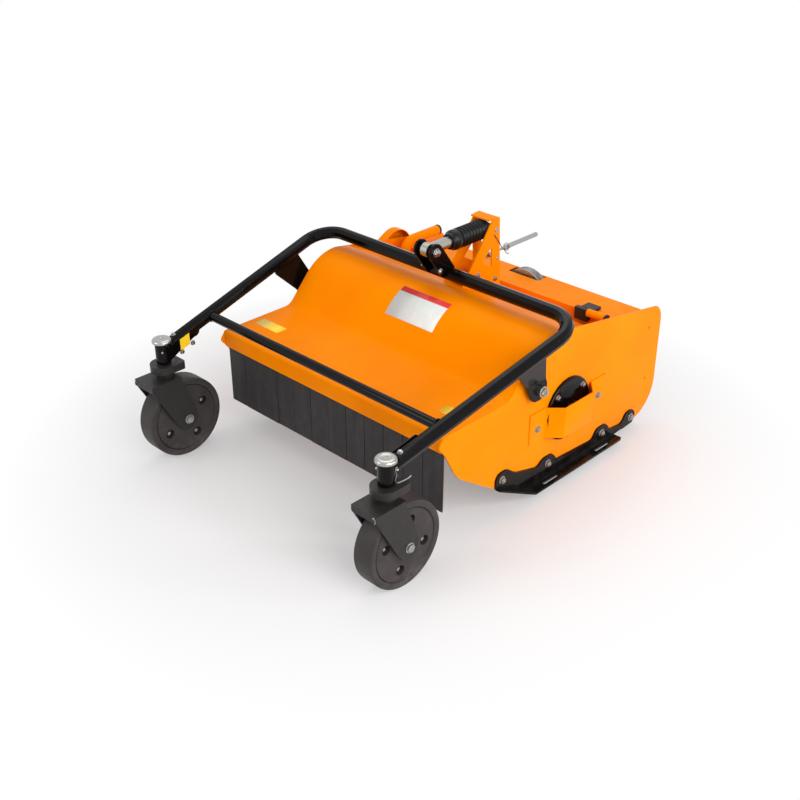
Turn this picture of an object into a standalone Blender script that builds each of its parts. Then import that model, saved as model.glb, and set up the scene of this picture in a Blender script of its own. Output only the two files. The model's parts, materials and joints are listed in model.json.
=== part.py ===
"""Front-mounted hammer knife mower on a pivoting caster frame.

Metres, +Z up, -Y is the front (casters and flaps), +Y the rear (hitch side).
Lengths along the machine are measured from the front face of the deck's lip and
carried by the empty "machine", which brings the middle of the length to the origin.
"""

from math import acos, atan2, cos, pi, radians, sin, tan

import bmesh
import bpy
from mathutils import Matrix, Vector

# Fits and facets
SEAT_GAP = 0.0003          # clearance left between two pieces that touch
THROUGH = 0.020            # how far a cutting tool passes beyond what it cuts
ARC_STEP = radians(15)     # largest turn of one facet on an outline's arc
FINE_STEP = radians(30)    # the same on small roundings
ROUND_SIDES = 24           # sides of a large round piece
PIN_SIDES = 16             # sides of a pin or bolt
TYRE_SIDES = 36

# Deck: side plates, hood and cross box
DECK_HALF_WIDTH = 0.450    # to the outer face of a side plate
PLATE_THICKNESS = 0.006
SHEET_THICKNESS = 0.004
APRON_HEIGHT = 0.345       # top of the flat front sheet
LIP_DEPTH = 0.048          # height of the folded front lip
LIP_BEND = 0.008
CROWN_CENTRE = (0.463, 0.318)   # y, z of the hood's round crown
CROWN_RADIUS = 0.164
CROWN_PARTS = 12
APRON_FILLET = 0.040       # hollow bend between the apron and the hood's front
HOOD_FRONT_SLOPE = radians(47)
BOX_FRONT = 0.775
BOX_REAR = 0.902
BOX_TOP = 0.400
BOX_DEPTH = 0.100
BOX_WALL = 0.004
HOOD_REAR_DROP = 0.048     # the hood meets the box this far below its top
REAR_SHEET_HEAD = 0.028    # from the box's front to the top of the rear sheet
REAR_SHEET_FOOT = (0.835, 0.122)
PLATE_FRONT = -0.014       # side plates stand this far ahead of the lip
PLATE_REAR = 0.991
PLATE_BOTTOM = 0.028
PLATE_EDGE = (             # y, z and rounding, from the rear top round to the front
    (PLATE_REAR - 0.026, BOX_TOP - 0.004, 0.026),
    (PLATE_REAR, BOX_TOP - 0.028, 0.060),
    (PLATE_REAR, PLATE_BOTTOM + 0.002, 0.110),
    (0.860, PLATE_BOTTOM, 0),
    (0.330, PLATE_BOTTOM, 0.060),
    (0.205, 0.095, 0.200),
    (0.060, 0.195, 0.120),
    (0.010, APRON_HEIGHT - 0.055, 0.060),
    (PLATE_FRONT, APRON_HEIGHT - 0.027, 0.010),
    (0.006, APRON_HEIGHT, 0))
PLATE_HOLES = ((0.926, 0.336), (0.935, 0.160))
PLATE_HOLE_RADIUS = 0.0045

# Front flaps
FLAP_COUNT = 12
FLAP_GAP = 0.0015
FLAP_THICKNESS = 0.004
FLAP_FRONT = 0.012         # front face of the strips behind the lip
FLAP_BOTTOM = 0.108
FLAP_TOP = APRON_HEIGHT - 0.020
FLAP_SLIT_TOP = APRON_HEIGHT - LIP_DEPTH   # the slits end behind the lip
RAIL_THICKNESS = 0.004
RAIL_DEPTH = 0.036
RAIL_WIDTH = 0.030

# Rotor
ROTOR_CENTRE = (0.527, 0.222)   # y, z
ROTOR_TIP_RADIUS = 0.180
DRUM_RADIUS = 0.055
DRUM_SIDES = 20
DRUM_END_CLEARANCE = 0.010
ROTOR_SHAFT_RADIUS = 0.0175
ROTOR_SHAFT_REACH = 0.020  # beyond the outer face of a side plate
HAMMER_STATIONS = 9
HAMMERS_PER_STATION = 2
STATION_TURN = radians(80)
STATION_INSET = 0.050      # from the drum's end to the outer hammers
HAMMER_PIN_RADIUS = 0.0065
HAMMER_PIN_CENTRE = 0.085
HAMMER_EYE = 0.015         # from the pin's centre to the top of the shank
HAMMER_WIDTH = 0.056
HAMMER_HEAD_DEPTH = 0.046
HAMMER_SHOULDER = 0.012
HAMMER_THICKNESS = 0.018
SHANK_WIDTH = 0.022
SHANK_PLAY = 0.001
LUG_THICKNESS = 0.006
LUG_WIDTH = 0.034
LUG_SINK = 0.008           # how deep a lug stands in the drum
LUG_CREST = 0.012          # from the pin's centre to the top of a lug

# Bearings, guard and belt cover
FLANGE_RADIUS = 0.098
FLANGE_THICKNESS = 0.010
FLANGE_BEVEL = 0.003
BEARING_BOSS_RADIUS = 0.058
BEARING_BOSS_LENGTH = 0.018
BEARING_STEP = 0.004
BEARING_FACE = 0.044       # radius of the boss's flat outer face
SEAL_RADIUS = 0.028
SHAFT_HOLE_MARGIN = 0.004
GUARD_TOP = 0.262
GUARD_BOTTOM = 0.165
GUARD_SHEET = 0.003
GUARD_STANDOFF = 0.042
GUARD_LEFT = 0.358         # y of the front end of the guard's front tab
GUARD_FOOT_FRONT = 0.425
GUARD_FACE_FRONT = 0.465
GUARD_FACE_REAR = 0.592
GUARD_FOOT_REAR = 0.640
GUARD_RIGHT = 0.712
GUARD_FLANGE_ROOM = 0.001
COVER_DEPTH = 0.032
COVER_SHEET = 0.003
COVER_UPPER = (0.752, 0.395)
COVER_UPPER_RADIUS = 0.065
COVER_LOWER_RADIUS = 0.112

# Skids
SKID_PLATE = 0.006
SKID_FLANGE = 0.036        # how far the foot reaches out from the plate
SKID_FOOT_HEIGHT = 0.022   # underside of the foot above the ground
SKID_BOLTS = ((0.240, 0.110), (0.447, 0.070), (0.712, 0.058), (0.866, 0.050))
SKID_LUG_RADIUS = 0.024
SKID_LUG_ROUND = SKID_LUG_RADIUS * 0.95
SKID_FOOT_FRONT = 0.355
SKID_FOOT_REAR = 0.776
SKID_BEND = 0.020          # rounding where a bolt's lug meets the long edge
SKID_SLOT_LENGTH = 0.070
SKID_SLOT_WIDTH = 0.009
SKID_SLOT_INSET = 0.085
SKID_SLOT_OUT = 0.55       # share of the foot's reach at the slots' middle
SKID_CORNER = 0.012

# Rear roller
ROLLER_RADIUS = 0.045
ROLLER_Y = 0.885
ROLLER_STUB_RADIUS = 0.010
ROLLER_SIDE_GAP = 0.012
ROLLER_BEVEL = 0.003
BRACKET_THICKNESS = 0.006
BRACKET_EDGE = (           # y from the roller's axis, z and rounding
    (-0.060, 0.090, 0.008), (-0.040, 0.008, 0), (0.020, 0.012, 0.012), (0.030, 0.090, 0.008))

# Casters, from the ground up
STEM_X = DECK_HALF_WIDTH + 0.0095
STEM_Y = -0.212
WHEEL_RADIUS = 0.125
WHEEL_HALF_WIDTH = 0.032
TYRE_SHOULDER = 0.007
RIM_RADIUS = 0.104
RIM_BEVEL = 0.003
HUB_SHOULDER = 0.002       # the hub's faces lie this far inside the tyre's
HUB_BOSS_RADIUS = 0.023
HUB_BOSS_PROUD = 0.003
HUB_HOLE_CIRCLE = 0.071
HUB_HOLE_RADIUS = 0.012
HUB_HOLES = 4
HUB_POCKET = 0.010         # depth of the round pockets in both faces
HOLE_TURN = {"left": radians(28), "right": radians(-16)}
TRAIL = 0.037              # axle behind the stem
AXLE_RADIUS = 0.008
AXLE_HEAD_RADIUS = 0.011
AXLE_HEAD_LENGTH = 0.008
FORK_PLATE = 0.006
FORK_INSIDE = 0.038        # half the gap between the fork's legs
FORK_FRONT = 0.078         # front of the fork's crown ahead of the stem
FORK_REAR = 0.026
FORK_FLANGE = 0.020        # depth of the folded front flange
FORK_SHOULDER = 0.016      # front corner of a leg below the crown's top
FORK_END = 0.034           # from the axle to the leg's lower end
CROWN_GAP = 0.022          # between the tyre and the top of the fork's crown
NECK_HEIGHT = 0.018        # the round neck between the crown and the collar
NECK_RADIUS = 0.026
COLLAR_HEIGHT = 0.023
COLLAR_HALF_LENGTH = 0.046
COLLAR_HALF_WIDTH = 0.038
COLLAR_OFFSET = 0.004
SLEEVE_GAP = 0.003         # between the collar and the sleeve
SLEEVE_LENGTH = 0.060
SLEEVE_RADIUS = 0.022
STEM_RADIUS = 0.0125
STEM_PROUD = 0.002         # the stem's end above the sleeve
CAP_HEIGHT = 0.016
CAP_RADIUS = 0.029
CAP_CLEARANCE = 0.005
CAP_BEVEL = 0.006
CAP_DIMPLE = 0.003
TUBE_RADIUS = 0.020
CROWN_PLATE_TOP = 2 * WHEEL_RADIUS + CROWN_GAP
COLLAR_BOTTOM = CROWN_PLATE_TOP + NECK_HEIGHT
COLLAR_TOP = COLLAR_BOTTOM + COLLAR_HEIGHT
SLEEVE_BOTTOM = COLLAR_TOP + SLEEVE_GAP
SLEEVE_TOP = SLEEVE_BOTTOM + SLEEVE_LENGTH
CAP_TOP = SLEEVE_TOP + CAP_HEIGHT

# Caster frame
TUBE_STEM_HEIGHT = SLEEVE_TOP - TUBE_RADIUS   # tube axis where it meets the sleeve
BACK_GAP = 0.027           # between the hood's crown and the back tube
BACK_HALF_WIDTH = DECK_HALF_WIDTH + 0.063   # tube axis at the back corners
BACK_Y = 0.4785
BACK_HEIGHT = CROWN_CENTRE[1] + CROWN_RADIUS + BACK_GAP + TUBE_RADIUS
CORNER_BEND = 0.085
BEND_PARTS = 8
CROSSBAR_RADIUS = 0.014
CROSSBAR_Y = -0.030
PIVOT = (0.372, 0.345)     # y, z of the frame's pivot bolts
PIVOT_BOLT_RADIUS = 0.010
PIVOT_HEAD_RADIUS = 0.017
PIVOT_HEAD_LENGTH = 0.010
ARM_THICKNESS = 0.008
ARM_STANDOFF = 0.012       # from the side plate to the arm
ARM_EYE_RADIUS = 0.030
ARM_FRONT = 0.127          # the arm's top reaches this far ahead of the pivot
ARM_REAR = 0.032           # and ends this far ahead of it
ARM_FOLD = 0.030           # the arm starts to lean out this far above the pivot
STEM_PLATE = 0.004         # inner plate that holds the tube's end to the sleeve
STEM_PLATE_LENGTH = 0.125
STEM_PLATE_ABOVE = 0.014
STEM_PLATE_BELOW = 0.036
STEM_PLATE_TAIL = 0.022
LUG_LEAN = 0.0585          # the link pin stands this far ahead of the back tube
LUG_RISE = 0.081
LINK_PIN = (BACK_Y - LUG_LEAN, BACK_HEIGHT + LUG_RISE)   # y, z
LINK_PIN_RADIUS = 0.007
LINK_PIN_HEAD = 0.012
LINK_LUG_HALF = 0.033      # to the outer face of a link lug
LINK_LUG_PLATE = 0.007
LINK_LUG_RADIUS = 0.0265
LINK_LUG_FOOT = 0.027
LUG_PARTS = 6
LINK_SADDLE = 0.005        # the curved strip between the lugs, over the tube
SADDLE_CUT = 0.006

# Mast
MAST_HALF_WIDTH = 0.039    # to the outer face of a mast plate
MAST_PLATE = 0.005
MAST_RISE = 0.039          # the mast's top above its pin, which is level with the link pin
MAST_TOP = (0.694, LINK_PIN[1] + MAST_RISE)   # y, z of the rear top corner
MAST_CREST = 0.028         # length of the mast's top edge
MAST_BRIDGE = 0.046        # length of the plate that bridges the top
MAST_FOOT = (0.532, 0.709)
MAST_WINDOW = (            # back from the rear edge, down from the top, rounding
    (0.033, 0.088, 0.004), (0.076, 0.129, 0.004), (0.028, 0.155, 0.004))
MAST_PIN = (MAST_TOP[0] - 0.013, LINK_PIN[1])
MAST_PIN_RADIUS = 0.008
PIN_PROUD = 0.010
MAST_PIN_PROUD = 0.0015
HITCH_INSET = 0.006        # the hitch pin from the mast's rear top corner
HITCH_DROP = 0.132
HITCH_PIN = (MAST_TOP[0] - HITCH_INSET, MAST_TOP[1] - HITCH_DROP)
HITCH_PIN_RADIUS = 0.005
HITCH_EYE_RADIUS = 0.011
HITCH_NECK_RADIUS = 0.004
HITCH_RING_RADIUS = 0.012
HITCH_RING_HALF = 0.005
HITCH_RING_Y = 0.780
HITCH_ROD_RADIUS = 0.0075
HITCH_ROD_REAR = 0.928

# Drive
PULLEY_RADIUS = 0.080
PULLEY_WIDTH = 0.030
PULLEY_GROOVE = 0.012
PULLEY_RIM = 0.004
PULLEY_X = 0.014
PULLEY_Y = 0.878
PULLEY_TOP = 0.417
NOTCH_CLEARANCE = 0.008
INPUT_SHAFT_RADIUS = 0.0125
INPUT_SHAFT_PROUD = 0.016
INPUT_BEARING_FRONT = 0.800
INPUT_BEARING_REAR = 0.850
INPUT_BEARING_HALF = 0.035

# Support tube, latch and stop bar on the box's front edge
SUPPORT_X = 0.050 - DECK_HALF_WIDTH
SUPPORT_Y = 0.738
SUPPORT_REAR = 0.892
SUPPORT_RADIUS = 0.017
SUPPORT_HEIGHT = BOX_TOP + SUPPORT_RADIUS + 0.018
SUPPORT_BEND = 0.034
SUPPORT_CAP = 0.008
LATCH_FRONT = 0.760
LATCH_LOWER = (0.289, 0.337)    # x of the block in front of the box
LATCH_UPPER = (0.300, 0.346)    # x of the pad on the box
LATCH_PAD = (0.780, 0.815)      # y of the pad
LATCH_DROP = 0.026         # the block's underside below the box's top
LATCH_TOP = BOX_TOP + 0.012
LATCH_PAD_HEIGHT = 0.010
KNOB_X = 0.400             # x of the stop bar's end
KNOB_HEIGHT = BOX_TOP + 0.006   # z of its axis
KNOB_RADIUS = 0.0135
KNOB_LENGTH = 0.007
STOP_RADIUS = 0.0125

# Height screw
ROD_RADIUS = 0.0175
ROD_EYE_RADIUS = 0.021
ROD_EYE_HALF = 0.012
ROD_EYE_PLAY = 0.002
ROD_REACH = 0.075          # the rod's end inside the bellows
BELLOWS_RADIUS = 0.031
BELLOWS_ROOT = 0.0235
BELLOWS_RIBS = 8
BELLOWS_SIDES = 16
BELLOWS_CUFF = 0.036       # the smooth front part
BELLOWS_START = 0.088      # from the lug pin to the front end of the bellows
BELLOWS_END = 0.014        # from the rear end of the bellows to the mast pin
HEAD_EYE_RADIUS = 0.0135
HEAD_EYE_HALF = 0.016

# The middle of the machine's length, from the wheel's front to the plates' rear
WHEEL_FRONT = STEM_Y + TRAIL - WHEEL_RADIUS
MIDDLE_Y = (WHEEL_FRONT + PLATE_REAR) / 2

# Colours: red, green, blue, roughness, metallic
FINISHES = {
    "deck_orange": (1.00, 0.27, 0.01, 0.35, 0.0),
    "tube_black": (0.012, 0.011, 0.011, 0.22, 0.0),
    "plate_black": (0.045, 0.042, 0.042, 0.45, 0.0),
    "rubber_grey": (0.050, 0.048, 0.046, 0.75, 0.0),
    "hub_grey": (0.040, 0.038, 0.038, 0.55, 0.0),
    "bright_zinc": (0.72, 0.72, 0.70, 0.28, 1.0),
    "raw_steel": (0.38, 0.37, 0.36, 0.45, 1.0),
    "cast_grey": (0.22, 0.22, 0.22, 0.60, 0.6),
}


# Scene and finishes

def clear_scene():
    for old in list(bpy.data.objects):
        bpy.data.objects.remove(old, do_unlink=True)


def finish(name):
    material = bpy.data.materials.get(name)
    if material is None:
        red, green, blue, rough, metal = FINISHES[name]
        material = bpy.data.materials.new(name)
        material.use_nodes = True
        shader = material.node_tree.nodes["Principled BSDF"]
        shader.inputs["Base Color"].default_value = (red, green, blue, 1.0)
        shader.inputs["Roughness"].default_value = rough
        shader.inputs["Metallic"].default_value = metal
    return material


def empty(name, place, parent=None):
    """An empty at a joint's axis, given in the machine's own coordinates."""
    marker = bpy.data.objects.new(name, None)
    bpy.context.scene.collection.objects.link(marker)
    marker["place"] = place
    base = Vector(parent["place"]) if parent else Vector((0, 0, 0))
    marker.location = Vector(place) - base
    marker.parent = parent
    return marker


def publish(mesh, name, finish_name, carrier, smooth=False):
    """Make the node: a mesh in machine coordinates, carried by an empty."""
    if smooth:
        mesh.shade_smooth()
        mesh.set_sharp_from_angle(angle=radians(35))
    mesh.transform(Matrix.Translation(-Vector(carrier["place"])))
    mesh.materials.clear()
    mesh.materials.append(finish(finish_name))
    node = bpy.data.objects.new(name, mesh)
    bpy.context.scene.collection.objects.link(node)
    node.parent = carrier
    return node


# Outlines

def rounded(corners, step=ARC_STEP):
    """Points of a closed outline from corners (u, v, radius), arcs in short chords."""
    points = []
    count = len(corners)
    for index, (u, v, radius) in enumerate(corners):
        if radius <= 0:
            points.append((u, v))
            continue
        here = Vector((u, v))
        before = (Vector(corners[index - 1][:2]) - here).normalized()
        after = (Vector(corners[(index + 1) % count][:2]) - here).normalized()
        half = acos(max(-1.0, min(1.0, before.dot(after)))) / 2
        setback = radius / tan(half)
        middle = here + (before + after).normalized() * (radius / sin(half))
        first = here + before * setback - middle
        last = here + after * setback - middle
        turn = atan2(first.x * last.y - first.y * last.x, first.dot(last))
        parts = max(1, int(abs(turn) / step + 0.5))
        for k in range(parts + 1):
            angle = turn * k / parts
            c, s = cos(angle), sin(angle)
            points.append((middle.x + first.x * c - first.y * s,
                           middle.y + first.x * s + first.y * c))
    return points


def circle(centre, radius, sides):
    return [(centre[0] + radius * cos(2 * pi * k / sides),
             centre[1] + radius * sin(2 * pi * k / sides)) for k in range(sides)]


def half_round(centre, radius, begin, parts):
    """Points of half a circle, counter-clockwise from an angle."""
    return [(centre[0] + radius * cos(begin + pi * k / parts),
             centre[1] + radius * sin(begin + pi * k / parts)) for k in range(parts + 1)]


def belt_outline(centre_a, radius_a, centre_b, radius_b):
    """The outline of a belt round two wheels, counter-clockwise."""
    span = Vector(centre_b) - Vector(centre_a)
    heading = atan2(span.y, span.x)
    open_angle = acos((radius_a - radius_b) / span.length)
    points = []
    for centre, radius, start, end in (
            (centre_a, radius_a, heading + open_angle, heading + 2 * pi - open_angle),
            (centre_b, radius_b, heading - open_angle, heading + open_angle)):
        parts = int((end - start) / (2 * pi) * ROUND_SIDES + 0.5)
        for k in range(parts + 1):
            angle = start + (end - start) * k / parts
            points.append((centre[0] + radius * cos(angle), centre[1] + radius * sin(angle)))
    return points


def sheet_outline(line, thickness):
    """A closed outline for a folded sheet: the line and its copy, offset to the right."""
    last = len(line) - 1
    other = []
    for index, (u, v) in enumerate(line):
        here = Vector((u, v))
        ahead = Vector(line[min(index + 1, last)]) - here
        behind = here - Vector(line[max(index - 1, 0)])
        if index == 0:
            behind = ahead
        if index == last:
            ahead = behind
        n1 = Vector((behind.y, -behind.x)).normalized()
        n2 = Vector((ahead.y, -ahead.x)).normalized()
        mitre = (n1 + n2).normalized()
        reach = thickness / mitre.dot(n1)
        other.append((u + mitre.x * reach, v + mitre.y * reach))
    return list(line) + other[::-1]


# Solids

def mesh_from(bm):
    bmesh.ops.remove_doubles(bm, verts=bm.verts[:], dist=0.00001)
    bmesh.ops.recalc_face_normals(bm, faces=bm.faces[:])
    mesh = bpy.data.meshes.new("piece")
    bm.to_mesh(mesh)
    bm.free()
    return mesh


AXIS_FRAMES = {
    # the outline's u and v axes and the direction it is extruded along
    "X": ((0, 1, 0), (0, 0, 1), (1, 0, 0)),
    "Y": ((1, 0, 0), (0, 0, 1), (0, 1, 0)),
    "Z": ((1, 0, 0), (0, 1, 0), (0, 0, 1)),
}


def prism(outline, axis, low, high):
    """A closed outline extruded along X, Y or Z from low to high."""
    u_axis, v_axis, w_axis = (Vector(a) for a in AXIS_FRAMES[axis])
    bm = bmesh.new()
    verts = [bm.verts.new(u_axis * u + v_axis * v + w_axis * low) for u, v in outline]
    face = bm.faces.new(verts)
    grown = bmesh.ops.extrude_face_region(bm, geom=[face])
    moved = [g for g in grown["geom"] if isinstance(g, bmesh.types.BMVert)]
    bmesh.ops.translate(bm, verts=moved, vec=w_axis * (high - low))
    return mesh_from(bm)


def block(low, high):
    outline = [(low[0], low[1]), (high[0], low[1]), (high[0], high[1]), (low[0], high[1])]
    return prism(outline, "Z", low[2], high[2])


def rod(centre, radius, axis, low, high, sides=PIN_SIDES):
    """A round bar along an axis; centre is in the outline's u, v."""
    return prism(circle(centre, radius, sides), axis, low, high)


def turned(profile, sides=ROUND_SIDES):
    """A closed profile of (radius, along) spun round +X."""
    bm = bmesh.new()
    verts = [bm.verts.new((along, 0, radius)) for radius, along in profile]
    count = len(verts)
    edges = [bm.edges.new((verts[k], verts[(k + 1) % count])) for k in range(count)
             if profile[k][0] > 0 or profile[(k + 1) % count][0] > 0]
    bmesh.ops.spin(bm, geom=verts + edges, cent=(0, 0, 0), axis=(1, 0, 0), angle=2 * pi,
                   steps=sides, use_merge=True)
    return mesh_from(bm)


def placed(mesh, move=(0, 0, 0), turn=None):
    if turn is not None:
        mesh.transform(turn)
    mesh.transform(Matrix.Translation(Vector(move)))
    return mesh


def mirrored(mesh):
    mesh.transform(Matrix.Scale(-1, 4, (1, 0, 0)))
    mesh.flip_normals()
    return mesh


def combined(first, second, operation):
    """A Boolean of two meshes, worked out at once."""
    body = bpy.data.objects.new("body", first)
    tool = bpy.data.objects.new("tool", second)
    for helper in (body, tool):
        bpy.context.scene.collection.objects.link(helper)
    step = body.modifiers.new("boolean", "BOOLEAN")
    step.operation = operation
    step.object = tool
    step.solver = "EXACT"
    graph = bpy.context.evaluated_depsgraph_get()
    result = bpy.data.meshes.new_from_object(body.evaluated_get(graph))
    for helper in (body, tool):
        bpy.data.objects.remove(helper, do_unlink=True)
    return result


def cut(mesh, *tools):
    for tool in tools:
        mesh = combined(mesh, tool, "DIFFERENCE")
    return mesh


def joined(mesh, *others):
    for other in others:
        mesh = combined(mesh, other, "UNION")
    return mesh


def tube_mesh(points, radius):
    """A round tube along a list of points, with filled ends."""
    curve = bpy.data.curves.new("path", "CURVE")
    curve.dimensions = "3D"
    spline = curve.splines.new("POLY")
    spline.points.add(len(points) - 1)
    for target, point in zip(spline.points, points):
        target.co = (*point, 1.0)
    curve.bevel_depth = radius
    curve.bevel_resolution = PIN_SIDES // 4 - 1
    curve.use_fill_caps = True
    carrier = bpy.data.objects.new("path", curve)
    bpy.context.scene.collection.objects.link(carrier)
    graph = bpy.context.evaluated_depsgraph_get()
    mesh = bpy.data.meshes.new_from_object(carrier.evaluated_get(graph))
    bpy.data.objects.remove(carrier, do_unlink=True)
    bm = bmesh.new()
    bm.from_mesh(mesh)
    return mesh_from(bm)


def bent_path(points, radius):
    """A run through points with its inner corners bent to a radius."""
    path = [Vector(points[0])]
    for k in range(1, len(points) - 1):
        here = Vector(points[k])
        before = (Vector(points[k - 1]) - here).normalized()
        after = (Vector(points[k + 1]) - here).normalized()
        half = before.angle(after) / 2
        setback = radius / tan(half)
        middle = here + (before + after).normalized() * (radius / sin(half))
        first = here + before * setback - middle
        last = here + after * setback - middle
        axis = first.cross(last).normalized()
        sweep = first.angle(last)
        for j in range(BEND_PARTS + 1):
            path.append(middle + Matrix.Rotation(sweep * j / BEND_PARTS, 3, axis) @ first)
    path.append(Vector(points[-1]))
    return path


# Deck

def hood_line():
    """The hood's outer line from the lip's bottom to the box, as y, z points."""
    cy, cz = CROWN_CENTRE
    start = pi / 2 + HOOD_FRONT_SLOPE
    touch = (cy + CROWN_RADIUS * cos(start), cz + CROWN_RADIUS * sin(start))
    foot_y = touch[0] - (touch[1] - APRON_HEIGHT) / tan(HOOD_FRONT_SLOPE)
    end = (BOX_FRONT - SEAT_GAP, BOX_TOP - HOOD_REAR_DROP)
    away = Vector(end) - Vector(CROWN_CENTRE)
    leave = atan2(away.y, away.x) + acos(CROWN_RADIUS / away.length)
    front = rounded([(0.0, APRON_HEIGHT - LIP_DEPTH, 0), (0.0, APRON_HEIGHT, LIP_BEND),
                     (foot_y, APRON_HEIGHT, APRON_FILLET), (*touch, 0)])
    crown = []
    for k in range(1, CROWN_PARTS + 1):
        angle = start + (leave - start) * k / CROWN_PARTS
        crown.append((cy + CROWN_RADIUS * cos(angle), cz + CROWN_RADIUS * sin(angle)))
    return front + crown + [end]


def hood_height(y):
    """Height of the hood's outer surface at a place along the machine."""
    line = hood_line()
    for (y1, z1), (y2, z2) in zip(line, line[1:]):
        if y1 <= y <= y2 and y2 > y1:
            return z1 + (z2 - z1) * (y - y1) / (y2 - y1)
    return line[-1][1]


def hood_wedge():
    """What lies under the hood's rear slope, to cut the feet that stand on it."""
    front = MAST_FOOT[1] - THROUGH
    return prism([(front, BOX_TOP - BOX_DEPTH), (BOX_FRONT, BOX_TOP - BOX_DEPTH),
                  (BOX_FRONT, hood_height(BOX_FRONT) + SEAT_GAP),
                  (front, hood_height(front) + SEAT_GAP)],
                 "X", -DECK_HALF_WIDTH, DECK_HALF_WIDTH)


def side_plate_outline():
    top = [(y, z, 0) for y, z in hood_line() if LIP_DEPTH < y < CROWN_CENTRE[0] + TUBE_RADIUS]
    return rounded(top + list(PLATE_EDGE))


def build_deck(machine):
    half = DECK_HALF_WIDTH
    inside = half - PLATE_THICKNESS - SEAT_GAP
    hood = prism(sheet_outline(hood_line(), SHEET_THICKNESS), "X", -inside, inside)
    publish(hood, "hood", "deck_orange", machine, smooth=True)

    outline = side_plate_outline()
    hole_low, hole_high = half - THROUGH, half + THROUGH
    for word in ("left", "right"):
        plate = prism(outline, "X", half - PLATE_THICKNESS, half)
        shaft_hole = rod(ROTOR_CENTRE, BEARING_BOSS_RADIUS + SHAFT_HOLE_MARGIN, "X",
                         hole_low, hole_high, ROUND_SIDES)
        small_holes = [rod(spot, PLATE_HOLE_RADIUS, "X", hole_low, hole_high, 12)
                       for spot in PLATE_HOLES]
        plate = cut(plate, shaft_hole, *small_holes)
        if word == "left":
            plate = mirrored(plate)
        publish(plate, "side_plate_" + word, "deck_orange", machine)

    # Cross box: an open-ended square tube with a round slot for the pulley
    low, high = BOX_TOP - BOX_DEPTH, BOX_TOP
    box = block((-inside, BOX_FRONT, low), (inside, BOX_REAR, high))
    hollow = block((-half, BOX_FRONT + BOX_WALL, low + BOX_WALL),
                   (half, BOX_REAR - BOX_WALL, high - BOX_WALL))
    spot = (PULLEY_X, PULLEY_TOP - PULLEY_RADIUS)
    slot = rod(spot, PULLEY_RADIUS + NOTCH_CLEARANCE, "Y",
               PULLEY_Y - PULLEY_WIDTH / 2 - NOTCH_CLEARANCE, BOX_REAR - BOX_WALL - SEAT_GAP,
               ROUND_SIDES)
    shaft_hole = rod(spot, INPUT_SHAFT_RADIUS + NOTCH_CLEARANCE, "Y", BOX_REAR - THROUGH,
                     BOX_REAR + THROUGH, ROUND_SIDES)
    publish(cut(box, hollow, slot, shaft_hole), "cross_box", "deck_orange", machine)

    # Rear sheet: hangs from the box and closes the back of the rotor's room
    rear = sheet_outline([(BOX_FRONT + REAR_SHEET_HEAD, low - SEAT_GAP), REAR_SHEET_FOOT],
                         SHEET_THICKNESS)
    publish(prism(rear, "X", -inside, inside), "rear_sheet", "deck_orange", machine)


def build_flaps(machine):
    inside = DECK_HALF_WIDTH - PLATE_THICKNESS - SEAT_GAP
    pitch = 2 * inside / FLAP_COUNT
    outline = [(-inside, FLAP_TOP), (-inside, FLAP_BOTTOM)]
    for k in range(1, FLAP_COUNT):
        slit = -inside + pitch * k
        outline += [(slit - FLAP_GAP / 2, FLAP_BOTTOM), (slit - FLAP_GAP / 2, FLAP_SLIT_TOP),
                    (slit + FLAP_GAP / 2, FLAP_SLIT_TOP), (slit + FLAP_GAP / 2, FLAP_BOTTOM)]
    outline += [(inside, FLAP_BOTTOM), (inside, FLAP_TOP)]
    curtain = prism(outline, "Y", FLAP_FRONT, FLAP_FRONT + FLAP_THICKNESS)
    publish(curtain, "front_flaps", "rubber_grey", machine)
    back = FLAP_FRONT + FLAP_THICKNESS + SEAT_GAP
    top = APRON_HEIGHT - SHEET_THICKNESS - SEAT_GAP
    angle = sheet_outline([(back + RAIL_WIDTH, top), (back, top),
                           (back, FLAP_TOP - RAIL_DEPTH)], -RAIL_THICKNESS)
    publish(prism(angle, "X", -inside, inside), "flap_rail", "plate_black", machine)


# Rotor and its bearings

def hammer_mesh():
    """One hammer, standing along +Z from its pin's centre at the origin, width along X."""
    reach = ROTOR_TIP_RADIUS - HAMMER_PIN_CENTRE
    head = reach - HAMMER_HEAD_DEPTH
    half_w = HAMMER_WIDTH / 2
    half_s = SHANK_WIDTH / 2
    face = [(-half_s, -HAMMER_EYE), (half_s, -HAMMER_EYE), (half_s, head - HAMMER_SHOULDER),
            (half_w, head), (half_w, reach), (-half_w, reach), (-half_w, head),
            (-half_s, head - HAMMER_SHOULDER)]
    return prism(face, "Y", -HAMMER_THICKNESS / 2, HAMMER_THICKNESS / 2)


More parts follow.
